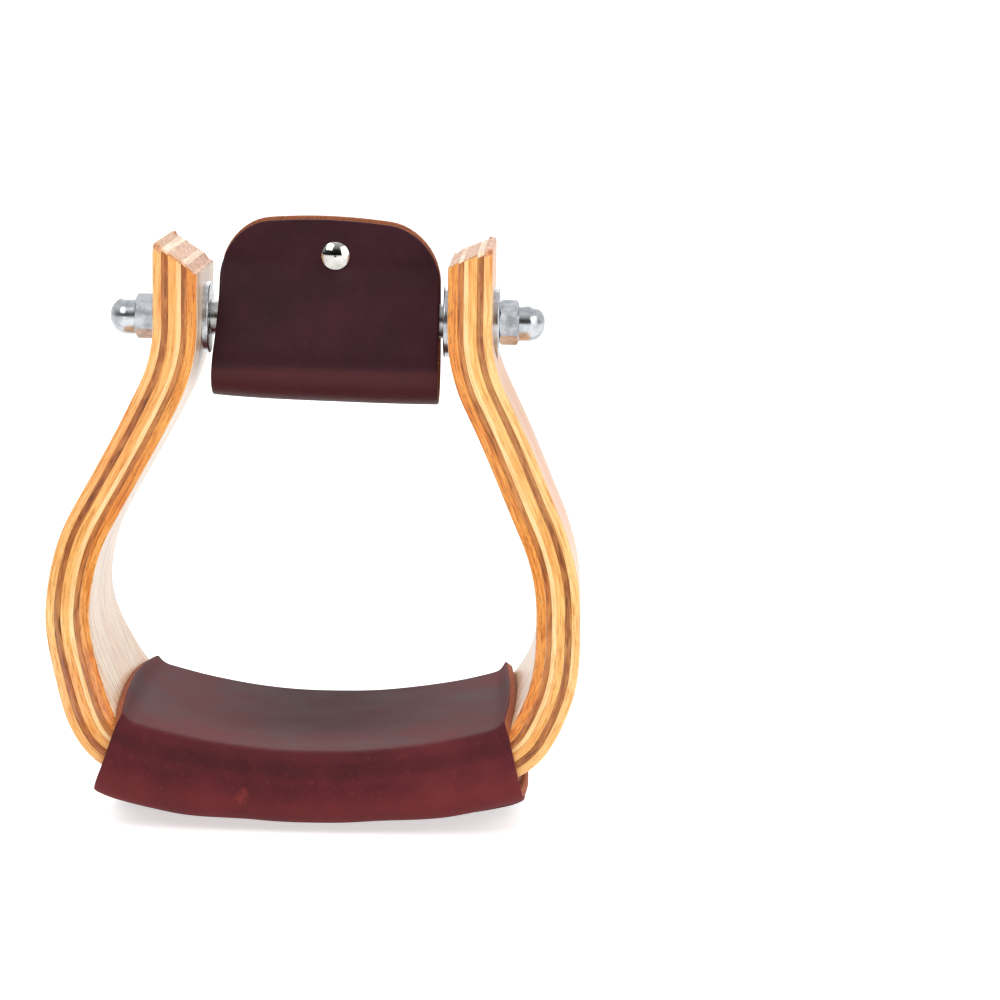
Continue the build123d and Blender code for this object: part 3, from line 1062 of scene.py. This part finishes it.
    def bend_ply(
        self, name: str, thickness: float, outer: float, outermost: bool, innermost: bool
    ) -> Piece:
        """Bend one flat strip round the bell.

        Args:
            name: Name of the piece.
            thickness: Thickness of the ply.
            outer: Offset of its outer face from the middle line.
            outermost: Whether its outer arrises are rounded.
            innermost: Whether its inner arrises are rounded.

        Returns:
            The bent piece.
        """
        line = self.line()
        along = stations(line.length(), self.grid_along, [d * MM for d in PLY_END_STEPS])
        half = self.tread_width / 2
        round_off = self.arris_radius
        close = (0, 0.12 * round_off, 0.4 * round_off, round_off)
        beside = stations(2 * half, self.grid_across, close) - half
        slab = Slab(name, len(along), len(beside))
        s = along[slab.column]
        share = beside[slab.row] / half
        offset = outer - thickness * (1 - slab.layer)
        # the hand-cut bevels lean each end of the strip, fading out along the straight of the leg
        on_right = s < line.length() / 2
        bevel = np.where(on_right, math.tan(self.right_bevel), -math.tan(self.left_bevel))
        from_end = np.minimum(s, line.length() - s)
        fade = np.clip(1 - from_end / self.leg_top, 0, 1)
        s = s + bevel * (self.stack / 2 - offset) * fade
        in_from_side = half * (1 - np.abs(share))
        worn_end = arris(np.minimum(along, line.length() - along), self.end_wear)[slab.column]
        outer_round = round_off if outermost else self.glue_groove
        inner_round = round_off if innermost else self.glue_groove
        offset = offset - slab.layer * arris(in_from_side, outer_round)
        offset = offset + (1 - slab.layer) * arris(in_from_side, inner_round)
        offset = offset - worn_end * (outermost * slab.layer - innermost * (1 - slab.layer))
        x, z = line.place(s, offset)
        width = self.half_width(z) - worn_end
        y = np.sign(share) * np.maximum(width - in_from_side * width / half, 0)
        slab.bend(np.stack([x, y, z], 1), np.stack([s, y, offset], 1))
        return slab.piece

    def bolt_cutters(self) -> tuple[Piece, Piece]:
        """Make the two cutting tools.

        Returns:
            One that bores the bolt way, and one that faces the outer washers' seats.
        """
        seat_x = self.neck_gap / 2 + self.stack
        bpy.ops.object.select_all(action="DESELECT")
        bpy.ops.mesh.primitive_cylinder_add(
            vertices=48, radius=self.bolt_hole / 2, depth=self.belly_width,
            rotation=(0, math.pi / 2, 0))
        bore = bpy.context.object
        bpy.ops.mesh.primitive_cylinder_add(
            vertices=96, radius=self.seat / 2, depth=self.stack,
            location=(seat_x + self.stack / 2, 0, 0), rotation=(0, math.pi / 2, 0))
        seats = bpy.context.object
        bpy.ops.object.transform_apply(location=True, rotation=True, scale=True)
        bpy.ops.object.mode_set(mode="EDIT")
        bpy.ops.mesh.primitive_cylinder_add(
            vertices=96, radius=self.seat / 2, depth=self.stack,
            location=(-seat_x - self.stack / 2, 0, 0), rotation=(0, math.pi / 2, 0))
        bpy.ops.object.mode_set(mode="OBJECT")
        return bore, seats

    def cut_bolt_way(self, piece: Piece, cutters: Sequence[Piece]) -> None:
        """Bore one ply, and lay its flat-sheet places afresh for the new faces.

        Args:
            piece: The ply.
            cutters: Tools to cut it with.
        """
        select_only(piece)
        for cutter in cutters:
            cut = piece.modifiers.new("bolt way", "BOOLEAN")
            cut.operation = "DIFFERENCE"
            cut.solver = "EXACT"
            cut.object = cutter
            bpy.ops.object.modifier_apply(modifier=cut.name)
        places = read_points(piece)
        along, offset = self.line().locate(places[:, 0], places[:, 2])
        from_middle = along - self.line().length() / 2
        write_layout(piece, np.stack([from_middle, places[:, 1], offset], 1))

    def dress_ply(self, piece: Piece, finishes: Sequence[Finish]) -> None:
        """Tell faces, sawn sides and ends apart by the way they face, and finish each.

        Args:
            piece: The ply.
            finishes: Finishes of its faces, sides and ends.
        """
        mesh = piece.data
        normals = np.zeros(len(mesh.polygons) * 3)
        centres = np.zeros(len(mesh.polygons) * 3)
        mesh.polygons.foreach_get("normal", normals)
        mesh.polygons.foreach_get("center", centres)
        normals, centres = normals.reshape(-1, 3), centres.reshape(-1, 3)
        line = self.line()
        along, _ = line.locate(centres[:, 0], centres[:, 2])
        heading = line.headings(along)
        endways = np.abs(normals[:, 0] * np.cos(heading) + normals[:, 2] * np.sin(heading))
        kinds = np.full(len(normals), Cut.FACE.value)
        kinds[np.abs(normals[:, 1]) > self.side_facing] = Cut.SIDE.value
        from_end = np.minimum(along, line.length() - along)
        kinds[(endways > self.end_facing) & (from_end < self.leg_top / 2)] = Cut.END.value
        give_materials(piece, finishes, kinds)


# ---------------------------------------------------------------- tread cover


@dataclass
class TreadCover:
    """Leather wrapped round the tread, butt-joined underneath between two strips."""

    bow: Bow
    leather: float = 3.1 * MM
    fit: float = 0.15 * MM
    slack: float = 3.7 * MM
    end_reach: float = 6.2 * MM
    left_lean: float = math.radians(18.9)
    right_lean: float = math.radians(13.4)
    top_fold: float = 1.6 * MM
    bottom_fold: float = 4.3 * MM
    joint_y: float = -5.5 * MM
    joint_gap: float = 0.3 * MM
    shadow_line_drop: float = 1.2 * MM  # painted shadow line below the front ridge
    shadow_line_width: float = 1.6 * MM
    shadow_line_amount: float = 0.6
    top_shade_reach: float = 42.0 * MM  # painted shade over the middle and back of the top
    top_shade_amount: float = 0.7
    painted_light_amount: float = 0.25  # painted highlight line under the painted shadow line, and painted bounce light on the lower hem
    lift: float = 1.3 * MM  # how far the top sheet stands off the wood at its right-hand cut
    ripple_depth: float = 0.16 * MM
    ripple_size: float = 17.0 * MM
    ripple_seed: int = 7  # without one the noise would follow the clock
    tongue: float = 4.2 * MM  # how much further the top sheet runs up the leg in its middle
    strip_width: float = 43.0 * MM
    inner_strip: float = 1.9 * MM
    outer_strip: float = 2.6 * MM
    strip_setback: float = 1.5 * MM
    strip_corner: float = 5.0 * MM
    sheet_grid: float = 1.7 * MM
    sheet_length: float = 142.0 * MM  # before trimming
    search_reach: float = 0.32  # of the bow's length, either side, within which a cut lies
    search_steps: int = 40
    grain_round: float = 0.8 * MM
    flesh_round: float = 0.3 * MM

    def section(self) -> BentLine:
        """Work out the inside of the wrap across the tread.

        Returns:
            The line, with outwards on its left.
        """
        half = self.bow.tread_width / 2 + self.fit
        low = self.bow.stack / 2 + self.slack
        high = -self.bow.stack / 2 - self.fit
        quarter = -math.pi / 2
        rise = low - high - self.top_fold - self.bottom_fold
        start = self.joint_y + self.joint_gap / 2
        return BentLine((start, low), 0.0, (
            (half - self.bottom_fold - start, 0.0),
            (self.bottom_fold, quarter),
            (rise, 0.0),
            (self.top_fold, quarter),
            (2 * (half - self.top_fold), 0.0),
            (self.top_fold, quarter),
            (rise, 0.0),
            (self.bottom_fold, quarter),
            (half - self.bottom_fold + self.joint_y - self.joint_gap / 2, 0.0),
        ))

    def sag(self, x: np.ndarray, y: np.ndarray) -> np.ndarray:
        """Find how much further the underside hangs than a close wrap would.

        Args:
            x: Places along the tread.
            y: Places across it.

        Returns:
            The sag at each place.
        """
        away = np.abs(x)
        ends = 1.6 * MM * smooth_step(away, 18 * MM, 46 * MM) - 0.008 * x
        belly = (0.4 * MM + 4.0 * MM * smooth_step(away, 12 * MM, 68 * MM))
        spread = np.clip((y - self.joint_y) / (50 * MM), -1, 1)
        return ends + belly * np.cos(spread * math.pi / 2) ** 2

    def hang(self, s: np.ndarray, y: np.ndarray, w: np.ndarray) -> tuple[np.ndarray, np.ndarray]:
        """Place points of the wrap, with its sag, in the XZ plane.

        Args:
            s: Distances along the bow.
            y: Distances across it.
            w: Offsets from its middle line.

        Returns:
            X and Z of each point.
        """
        line = self.bow.line()
        x, _ = line.place(s, w)
        low = self.bow.stack / 2 + self.slack
        share = np.clip((w - 0.45 * low) / (0.55 * low), 0, 1)
        return line.place(s, w + share * self.sag(x, y))

    def trim(self, y: np.ndarray, w: np.ndarray, side: int, setback: float) -> np.ndarray:
        """Find where the knife cut at one end crosses each run of the wrap.

        Args:
            y: Distances across the bow.
            w: Offsets from its middle line.
            side: One for the right end, minus one for the left.
            setback: Distance back from the cut.

        Returns:
            Distance along the bow of the cut.
        """
        line = self.bow.line()
        middle = line.length() / 2
        heel = line.spans()[5]
        heel_x, heel_z = line.place(np.array([heel[0]]), np.array([0.0]))
        dish = self.bow.tread_dish
        centre_x = heel_x[0] - self.bow.heel_radius * math.sin(dish)
        centre_z = heel_z[0] + self.bow.heel_radius * math.cos(dish)
        lean = math.tan(self.right_lean if side > 0 else self.left_lean)
        inside = np.full(w.shape, middle)
        outside = np.full(w.shape, middle - side * self.search_reach * line.length())
        for _ in range(self.search_steps):
            s = (inside + outside) / 2
            x, z = self.hang(s, y, w)
            edge = centre_x + self.end_reach - setback + (centre_z - z) * lean
            beyond = side * x > edge
            outside = np.where(beyond, s, outside)
            inside = np.where(beyond, inside, s)
        return inside

    def build(self) -> None:
        """Make the cover and both strips."""
        self.build_cover()
        self.build_strip("inner_seam_strip", -self.inner_strip, self.inner_strip)
        self.build_strip("outer_seam_strip", self.leather, self.outer_strip)

    def build_cover(self) -> None:
        """Wrap the sheet round the tread."""
        section = self.section()
        round_off = self.grain_round
        ends = [d * round_off for d in ROUND_STEPS]
        girth = ends[1:3]
        for done, length, _, _, _, radius in section.spans():
            count = 8 if radius else max(2, round(length / (2.6 * MM)))
            girth += list(done + np.linspace(0, length, count + 1)[:-1])
        girth += [section.length() - d for d in ends]
        girth = np.unique(np.round(girth, 6))
        share = stations(self.sheet_length, self.sheet_grid, ends) / self.sheet_length
        slab = Slab("wrapped_tread_cover", len(share), len(girth))
        p = girth[slab.row]
        y0, w0 = section.place(p, np.zeros(p.shape) + self.leather / 2)
        right = self.trim(y0, w0, 1, 0.0)
        left = self.trim(y0, w0, -1, 0.0)
        half = self.bow.tread_width / 2
        on_top = smooth_step(-w0, 0.0, self.bow.stack / 2)
        tongue = self.tongue * on_top * np.clip(1 - (y0 / half) ** 2, 0, 1)
        right, left = right - 0.75 * tongue, left + tongue
        t = share[slab.column]
        s = right + (left - right) * t
        from_cut = np.minimum(s - right, left - s)
        from_edge = np.minimum(from_cut, np.minimum(p, section.length() - p))
        offset = np.where(
            slab.layer == 1,
            self.leather - arris(from_edge, round_off),
            arris(from_edge, self.flesh_round),
        )
        y, w = section.place(p, offset)
        # the top sheet lifts off the wood a little towards the right-hand cut
        lift = self.lift * on_top * smooth_step(-(s - right), -14 * MM, 0.0)
        lift = lift * smooth_step(y0, -30 * MM, 45 * MM)
        x, z = self.hang(s, y, w - lift)
        places = np.stack([x, y, z], 1)
        places += self.ripple(places, slab.layer)
        slab.bend(places, np.stack([s, p, offset], 1))
        front_ridge = section.spans()[6][0]
        # painted shadow line under the front ridge, and painted shade over the middle and back of
        # the top, stored together as the mesh's share of painted shade
        below = (p - front_ridge - self.shadow_line_drop) / self.shadow_line_width
        top_shade = np.exp(-((places[:, 0] / self.top_shade_reach) ** 2))
        top_shade = self.top_shade_amount * top_shade * smooth_step(places[:, 1], -45 * MM, -5 * MM) * on_top
        write_amount(slab.piece, "painted_shade",
                     np.maximum(self.shadow_line_amount * np.exp(-below**2), top_shade))
        # painted highlight: a paler line under the painted shadow line; painted bounce light: a
        # paler lower hem
        pale = (p - front_ridge - 3.2 * self.shadow_line_drop) / (0.4 * self.shadow_line_width)
        front_hem = section.spans()[7][0]
        hem = smooth_step(p, front_hem - 5 * MM, front_hem + 2 * MM)
        paler = self.painted_light_amount * np.maximum(np.exp(-pale**2), hem)
        write_amount(slab.piece, "painted_light", paler)
        hides = (TREAD_HIDE, FLESH_SIDE, RAW_EDGE)
        finish_hide(slab, hides, Body.STIRRUP, "tread_cover")

    def ripple(self, places: np.ndarray, layer: np.ndarray) -> np.ndarray:
        """Work out the small unevenness of hand-stretched leather, on its outside only.

        Args:
            places: Vertex places.
            layer: Layer of each vertex, one on the outside.

        Returns:
            How far each vertex moves.
        """
        noise.seed_set(self.ripple_seed)
        shift = np.zeros(places.shape)
        for number, (place, outside) in enumerate(zip(places, layer)):
            if outside:
                way = noise.noise_vector(Vector(place) / self.ripple_size)
                shift[number] = Vector(way) * self.ripple_depth
        return shift

    def build_strip(self, node: str, base: float, thickness: float) -> None:
        """Lay one strip of leather along the joint.

        Args:
            node: CAD node that it stands for.
            base: Its lower face, measured out from the inside of the cover.
            thickness: Its thickness.
        """
        round_off = min(self.grain_round, 0.45 * thickness)
        ends = [d * round_off for d in ROUND_STEPS]
        nominal = 140 * MM  # before trimming
        share = stations(nominal, 1.8 * MM, ends) / nominal
        turn = np.linspace(0, math.pi / 2, 9)[:-1]
        corner = self.strip_corner * (1 - np.cos(turn))
        half = self.strip_width / 2
        beside = stations(2 * half, 2.2 * MM, tuple(corner) + (self.strip_corner,)) - half
        slab = Slab(f"lapped_{node}", len(share), len(beside))
        v = beside[slab.row]
        y = self.joint_y + v
        low = self.bow.stack / 2 + self.slack
        w0 = np.full(y.shape, low + base + thickness / 2)
        right = self.trim(y, w0, 1, self.strip_setback)
        left = self.trim(y, w0, -1, self.strip_setback)
        cut_back = arris(half - np.abs(v), self.strip_corner)
        right, left = right + cut_back, left - cut_back
        s = right + (left - right) * share[slab.column]
        from_cut = np.minimum(s - right, left - s)
        from_edge = np.minimum(from_cut, half - np.abs(v))
        drop = arris(from_edge, round_off)
        w = low + base + np.where(slab.layer == 1, thickness - drop, 0.0)
        x, z = self.hang(s, y, w)
        slab.bend(np.stack([x, y, z], 1), np.stack([s, y, w], 1))
        hides = (TREAD_HIDE, FLESH_SIDE, DYED_EDGE)
        finish_hide(slab, hides, Body.STIRRUP, node)


# ---------------------------------------------------------------- bolt sleeve


@dataclass
class BoltSleeve:
    """Leather folded under the roller and riveted through both flaps above it."""

    leather: float = 2.8 * MM
    clearance: float = 0.35 * MM
    fold_drop: float = 27.4 * MM
    flap_bend: float = 6.0 * MM
    flap_gap: float = 0.1 * MM
    flap_join: float = 20.0 * MM
    front_top: float = 33.2 * MM
    back_extra: float = 1.0 * MM
    half_right: float = 37.4 * MM
    half_left: float = 37.9 * MM
    left_lean: float = 2.3 * MM  # how much the left edge draws in towards the top
    corner: float = 17.0 * MM
    crown: float = 3.4 * MM
    tilt: float = math.radians(1.3)  # right side hangs lower
    curl: float = 0.8 * MM  # how much the fold rises at its ends
    press_radius: float = 5.0 * MM
    band_drop: float = 14.0 * MM  # below it painted bounce light makes the fold paler
    band_fade: float = 3.0 * MM
    band_painted_light: float = 0.24
    band_painted_shade: float = 0.14
    cut_back_reach: float = 30.0 * MM  # how far down the flaps the shape of their tops fades out
    grain_round: float = 0.6 * MM
    flesh_round: float = 0.25 * MM

    def line(self) -> BentLine:
        """Work out the outside of the fold, which hangs free of the roller.

        Returns:
            The line, from the top of the front flap round to the top of the back one.
        """
        low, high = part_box("roller")
        roller = (high.z - low.z) / 2
        face = self.leather + self.flap_gap / 2
        outside = roller + self.clearance + self.leather
        aside = face + self.flap_bend
        lean = math.asin((outside + self.flap_bend) / math.hypot(aside, self.flap_join))
        lean -= math.atan2(aside, self.flap_join)
        fold = (outside + self.fold_drop * math.sin(lean)) / (1 + math.sin(lean))
        rise = self.flap_join + self.fold_drop - fold
        straight = math.sqrt(rise**2 + aside**2 - (fold + self.flap_bend) ** 2)
        flap = self.front_top - self.flap_join
        return BentLine((-face, self.front_top), -math.pi / 2, (
            (flap, 0.0),
            (self.flap_bend, -lean),
            (straight, 0.0),
            (fold, math.pi + 2 * lean),
            (straight, 0.0),
            (self.flap_bend, -lean),
            (flap + self.back_extra, 0.0),
        ))

    def build(self) -> None:
        """Fold the sheet and put it in place of its CAD node."""
        line = self.line()
        length = line.length()
        half = (self.half_left + self.half_right) / 2
        angles = np.linspace(0, math.pi / 2, 13)
        corner = self.corner * (1 - np.cos(angles))
        beside = stations(2 * half, 2.4 * MM, tuple(corner)) - half
        ends = [d * MM for d in (0, 0.05, 0.2, 0.6, 1.2)]
        along = stations(length, 1.5 * MM, ends)
        slab = Slab("folded_bolt_sleeve", len(beside), len(along))
        v = beside[slab.column]
        r = along[slab.row]
        crown = self.crown * np.abs(v / half) ** 1.9
        cut_back = crown + arris(half - np.abs(v), self.corner)
        s = r + cut_back * np.clip(1 - r / self.cut_back_reach, 0, 1)
        s = s - cut_back * np.clip(1 - (length - r) / self.cut_back_reach, 0, 1)
        from_edge = self.edge_distance(v, half, crown, s, length)
        offset = np.where(
            slab.layer == 1, arris(from_edge, self.grain_round),
            self.leather - arris(from_edge, self.flesh_round))
        y, z = line.place(s, offset)
        places = self.settle(v, y, z, half)
        places = self.press(places, slab.layer)
        slab.bend(places, np.stack([s, v, offset], 1))
        drop = -places[:, 2] - self.band_drop
        # painted bounce light over the lower part of the fold
        write_amount(slab.piece, "painted_light",
                     self.band_painted_light * smooth_step(drop, 0.0, self.band_fade))
        # painted shade: a dark band just above the painted bounce light
        above = (drop + self.band_fade) / self.band_fade
        write_amount(slab.piece, "painted_shade", self.band_painted_shade * np.exp(-above**2))
        hides = (SLEEVE_HIDE, FLESH_SIDE, RAW_EDGE)
        finish_hide(slab, hides, Body.SLEEVE, "bolt_sleeve")

    def edge_distance(
        self, v: np.ndarray, half: float, crown: np.ndarray, s: np.ndarray, length: float
    ) -> np.ndarray:
        """Find how far in each point lies from the rounded outline.

        Args:
            v: Places across the sheet, from its middle.
            half: Half its width.
            crown: How far each run's end lies back from the highest.
            s: Places along it.
            length: Its length.

        Returns:
            Distance in from the outline.
        """
        from_end = np.minimum(s, length - s) - crown
        in_corner = (half - np.abs(v) < self.corner) & (from_end < self.corner)
        spread = np.hypot(np.abs(v) - (half - self.corner), self.corner - from_end)
        return np.where(in_corner, self.corner - spread, np.minimum(half - np.abs(v), from_end))

    def settle(self, v: np.ndarray, y: np.ndarray, z: np.ndarray, half: float) -> np.ndarray:
        """Give the straight sleeve its hand-made lean, tilt and curled fold.

        Args:
            v: Places across the sheet, from its middle.
            y: Places in depth.
            z: Heights.
            half: Half the sheet's width.

        Returns:
            The settled places.
        """
        x = v + (self.half_right - self.half_left) / 2
        left = np.clip(-v / half, 0, 1)
        x = x + self.left_lean * left * smooth_step(z, -self.fold_drop, 12 * MM)
        away = smooth_step(np.abs(z), 4 * MM, 14 * MM)
        z = z - x * math.tan(self.tilt) * away
        below = smooth_step(-z, 8 * MM, self.fold_drop)
        share = np.abs(v / half) ** 3 * np.where(v < 0, 1.0, 0.5)
        z = z + self.curl * share * below
        return np.stack([x, y, z], 1)

    def press(self, places: np.ndarray, layer: np.ndarray) -> np.ndarray:
        """Press the leather flat under the two rivet caps.

        Args:
            places: Vertex places.
            layer: Layer of each vertex, one on the outside.

        Returns:
            The pressed places.
        """
        low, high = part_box("rivet_front_cap")
        centre_x, centre_z = (low.x + high.x) / 2, (low.z + high.z) / 2
        distance = np.hypot(places[:, 0] - centre_x, places[:, 2] - centre_z)
        hold = 1 - smooth_step(distance, self.press_radius, 1.7 * self.press_radius)
        face = self.leather + self.flap_gap / 2
        target = np.sign(places[:, 1]) * np.where(layer == 1, face, self.flap_gap / 2)
        places[:, 1] += (target - places[:, 1]) * hold * (places[:, 2] > 8 * MM)
        return places


# ---------------------------------------------------------------- metal


@dataclass
class BoltSet:
    """Stud, roller, washers and nuts across the neck, and the sleeve's rivet."""

    finishes: tuple[tuple[Finish, tuple[str, ...]], ...] = (
        (ZINC, ("threaded_stud", "left_inner_washer", "right_inner_washer", "left_outer_washer",
                "right_outer_washer", "left_acorn_nut", "right_acorn_nut")),
        (DRAWN_TUBE, ("roller", "rivet_back_cap")),
        (NICKEL, ("rivet_front_cap", "rivet_post")),
    )

    def build(self) -> None:
        """Give every metal node its plating."""
        for finish, nodes in self.finishes:
            for node in nodes:
                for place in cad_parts[node].material_slots:
                    place.material = finish.material()
                LOG.info("%s: %s", node, finish.name)


# ---------------------------------------------------------------- studio


@dataclass
class Studio:
    """Camera, soft lights and seamless paper."""

    camera_place: tuple[float, float, float] = (80.835 * MM, -1197.012 * MM, 119.095 * MM)
    yaw: float = math.radians(1.233)
    pitch: float = math.radians(-8.471)
    roll: float = math.radians(-1.134)
    lens: float = 130.23
    sensor: float = 36.0
    target: tuple[float, float, float] = (0.0, 0.0, -60 * MM)  # where the lights point
    lights: tuple[tuple[str, tuple[float, float, float], float, float], ...] = (
        ("key_softbox", (-0.9, -1.3, 1.2), 1.0, 13.0),
        ("fill_softbox", (1.1, -1.0, 0.5), 1.2, 9.5),
        ("back_softbox", (0.1, 1.3, 0.9), 1.4, 8.0),
    )
    room: Ramp = ((0.20, "#0E0E0E"), (0.38, "#2A2A2A"), (0.52, "#B8B8B8"), (0.72, "#FFFFFF"))
    floor_side: float = 12.0
    floor_gap: float = 0.05 * MM

    def set_camera(self) -> None:
        """Add the camera and make it the scene's own."""
        data = bpy.data.cameras.new("studio_camera")
        data.lens = self.lens
        data.sensor_width = self.sensor
        data.clip_start = 0.05
        camera = bpy.data.objects.new("studio_camera", data)
        bpy.context.scene.collection.objects.link(camera)
        turn = (Matrix.Rotation(self.roll, 4, "Y") @ Matrix.Rotation(self.pitch, 4, "X")
                @ Matrix.Rotation(self.yaw, 4, "Z") @ Matrix.Rotation(math.pi / 2, 4, "X"))
        camera.matrix_world = Matrix.Translation(self.camera_place) @ turn
        bpy.context.scene.camera = camera

    def add_light(
        self, name: str, place: tuple[float, float, float], size: float, power: float
    ) -> None:
        """Add one square soft light that faces the stirrup.

        Args:
            name: Name of the light.
            place: Where it hangs, in metres.
            size: Side of its square.
            power: Power in watts.
        """
        data = bpy.data.lights.new(name, "AREA")
        data.size = size
        data.energy = power
        light = bpy.data.objects.new(name, data)
        bpy.context.scene.collection.objects.link(light)
        away = Vector(self.target) - Vector(place)
        light.visible_camera = False
        light.rotation_euler = away.to_track_quat("-Z", "Y").to_euler()
        light.location = place

    def build(self) -> None:
        """Set the world, the lights and the floor."""
        scene = bpy.context.scene
        scene.view_settings.view_transform = "Standard"
        world = bpy.data.worlds.new("studio")
        scene.world = world
        world.use_nodes = True
        tree = world.node_tree
        background = tree.nodes["Background"]
        way = add_node(tree, "ShaderNodeTexCoord").outputs["Generated"]
        split = add_node(tree, "ShaderNodeSeparateXYZ", links={0: way}).outputs
        behind = add_sum(tree, "MULTIPLY_ADD", split["Y"], 0.3, 0.5)
        room = add_ramp(tree, add_sum(tree, "MULTIPLY_ADD", split["Z"], 0.4, behind), self.room)
        seen = add_node(tree, "ShaderNodeLightPath").outputs["Is Camera Ray"]
        set_shader(tree, background, {
            "Color": add_blend(tree, seen, room, "#FFFFFF"),
            "Strength": add_range(tree, seen, 0.0, 1.0, 0.78, 1.05),
        }, {})
        for light in self.lights:
            self.add_light(*light)
        bpy.ops.object.select_all(action="DESELECT")
        low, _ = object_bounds()
        bpy.ops.mesh.primitive_plane_add(
            size=self.floor_side, location=(0, 0, low[2] - self.floor_gap))
        floor = bpy.context.object
        floor.name = "studio_floor"
        floor.data.materials.append(PAPER.material())
        floor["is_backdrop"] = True
        LOG.info("studio is lit")


def main() -> None:
    """Build the stirrup and its studio."""
    logging.basicConfig(level=logging.INFO, format="%(name)s: %(message)s")
    studio = Studio()
    studio.set_camera()
    bow = Bow.from_frame()
    for sub_assembly in (bow, TreadCover(bow), BoltSleeve(), BoltSet(), studio):
        sub_assembly.build()


if __name__ == "__main__":
    main()
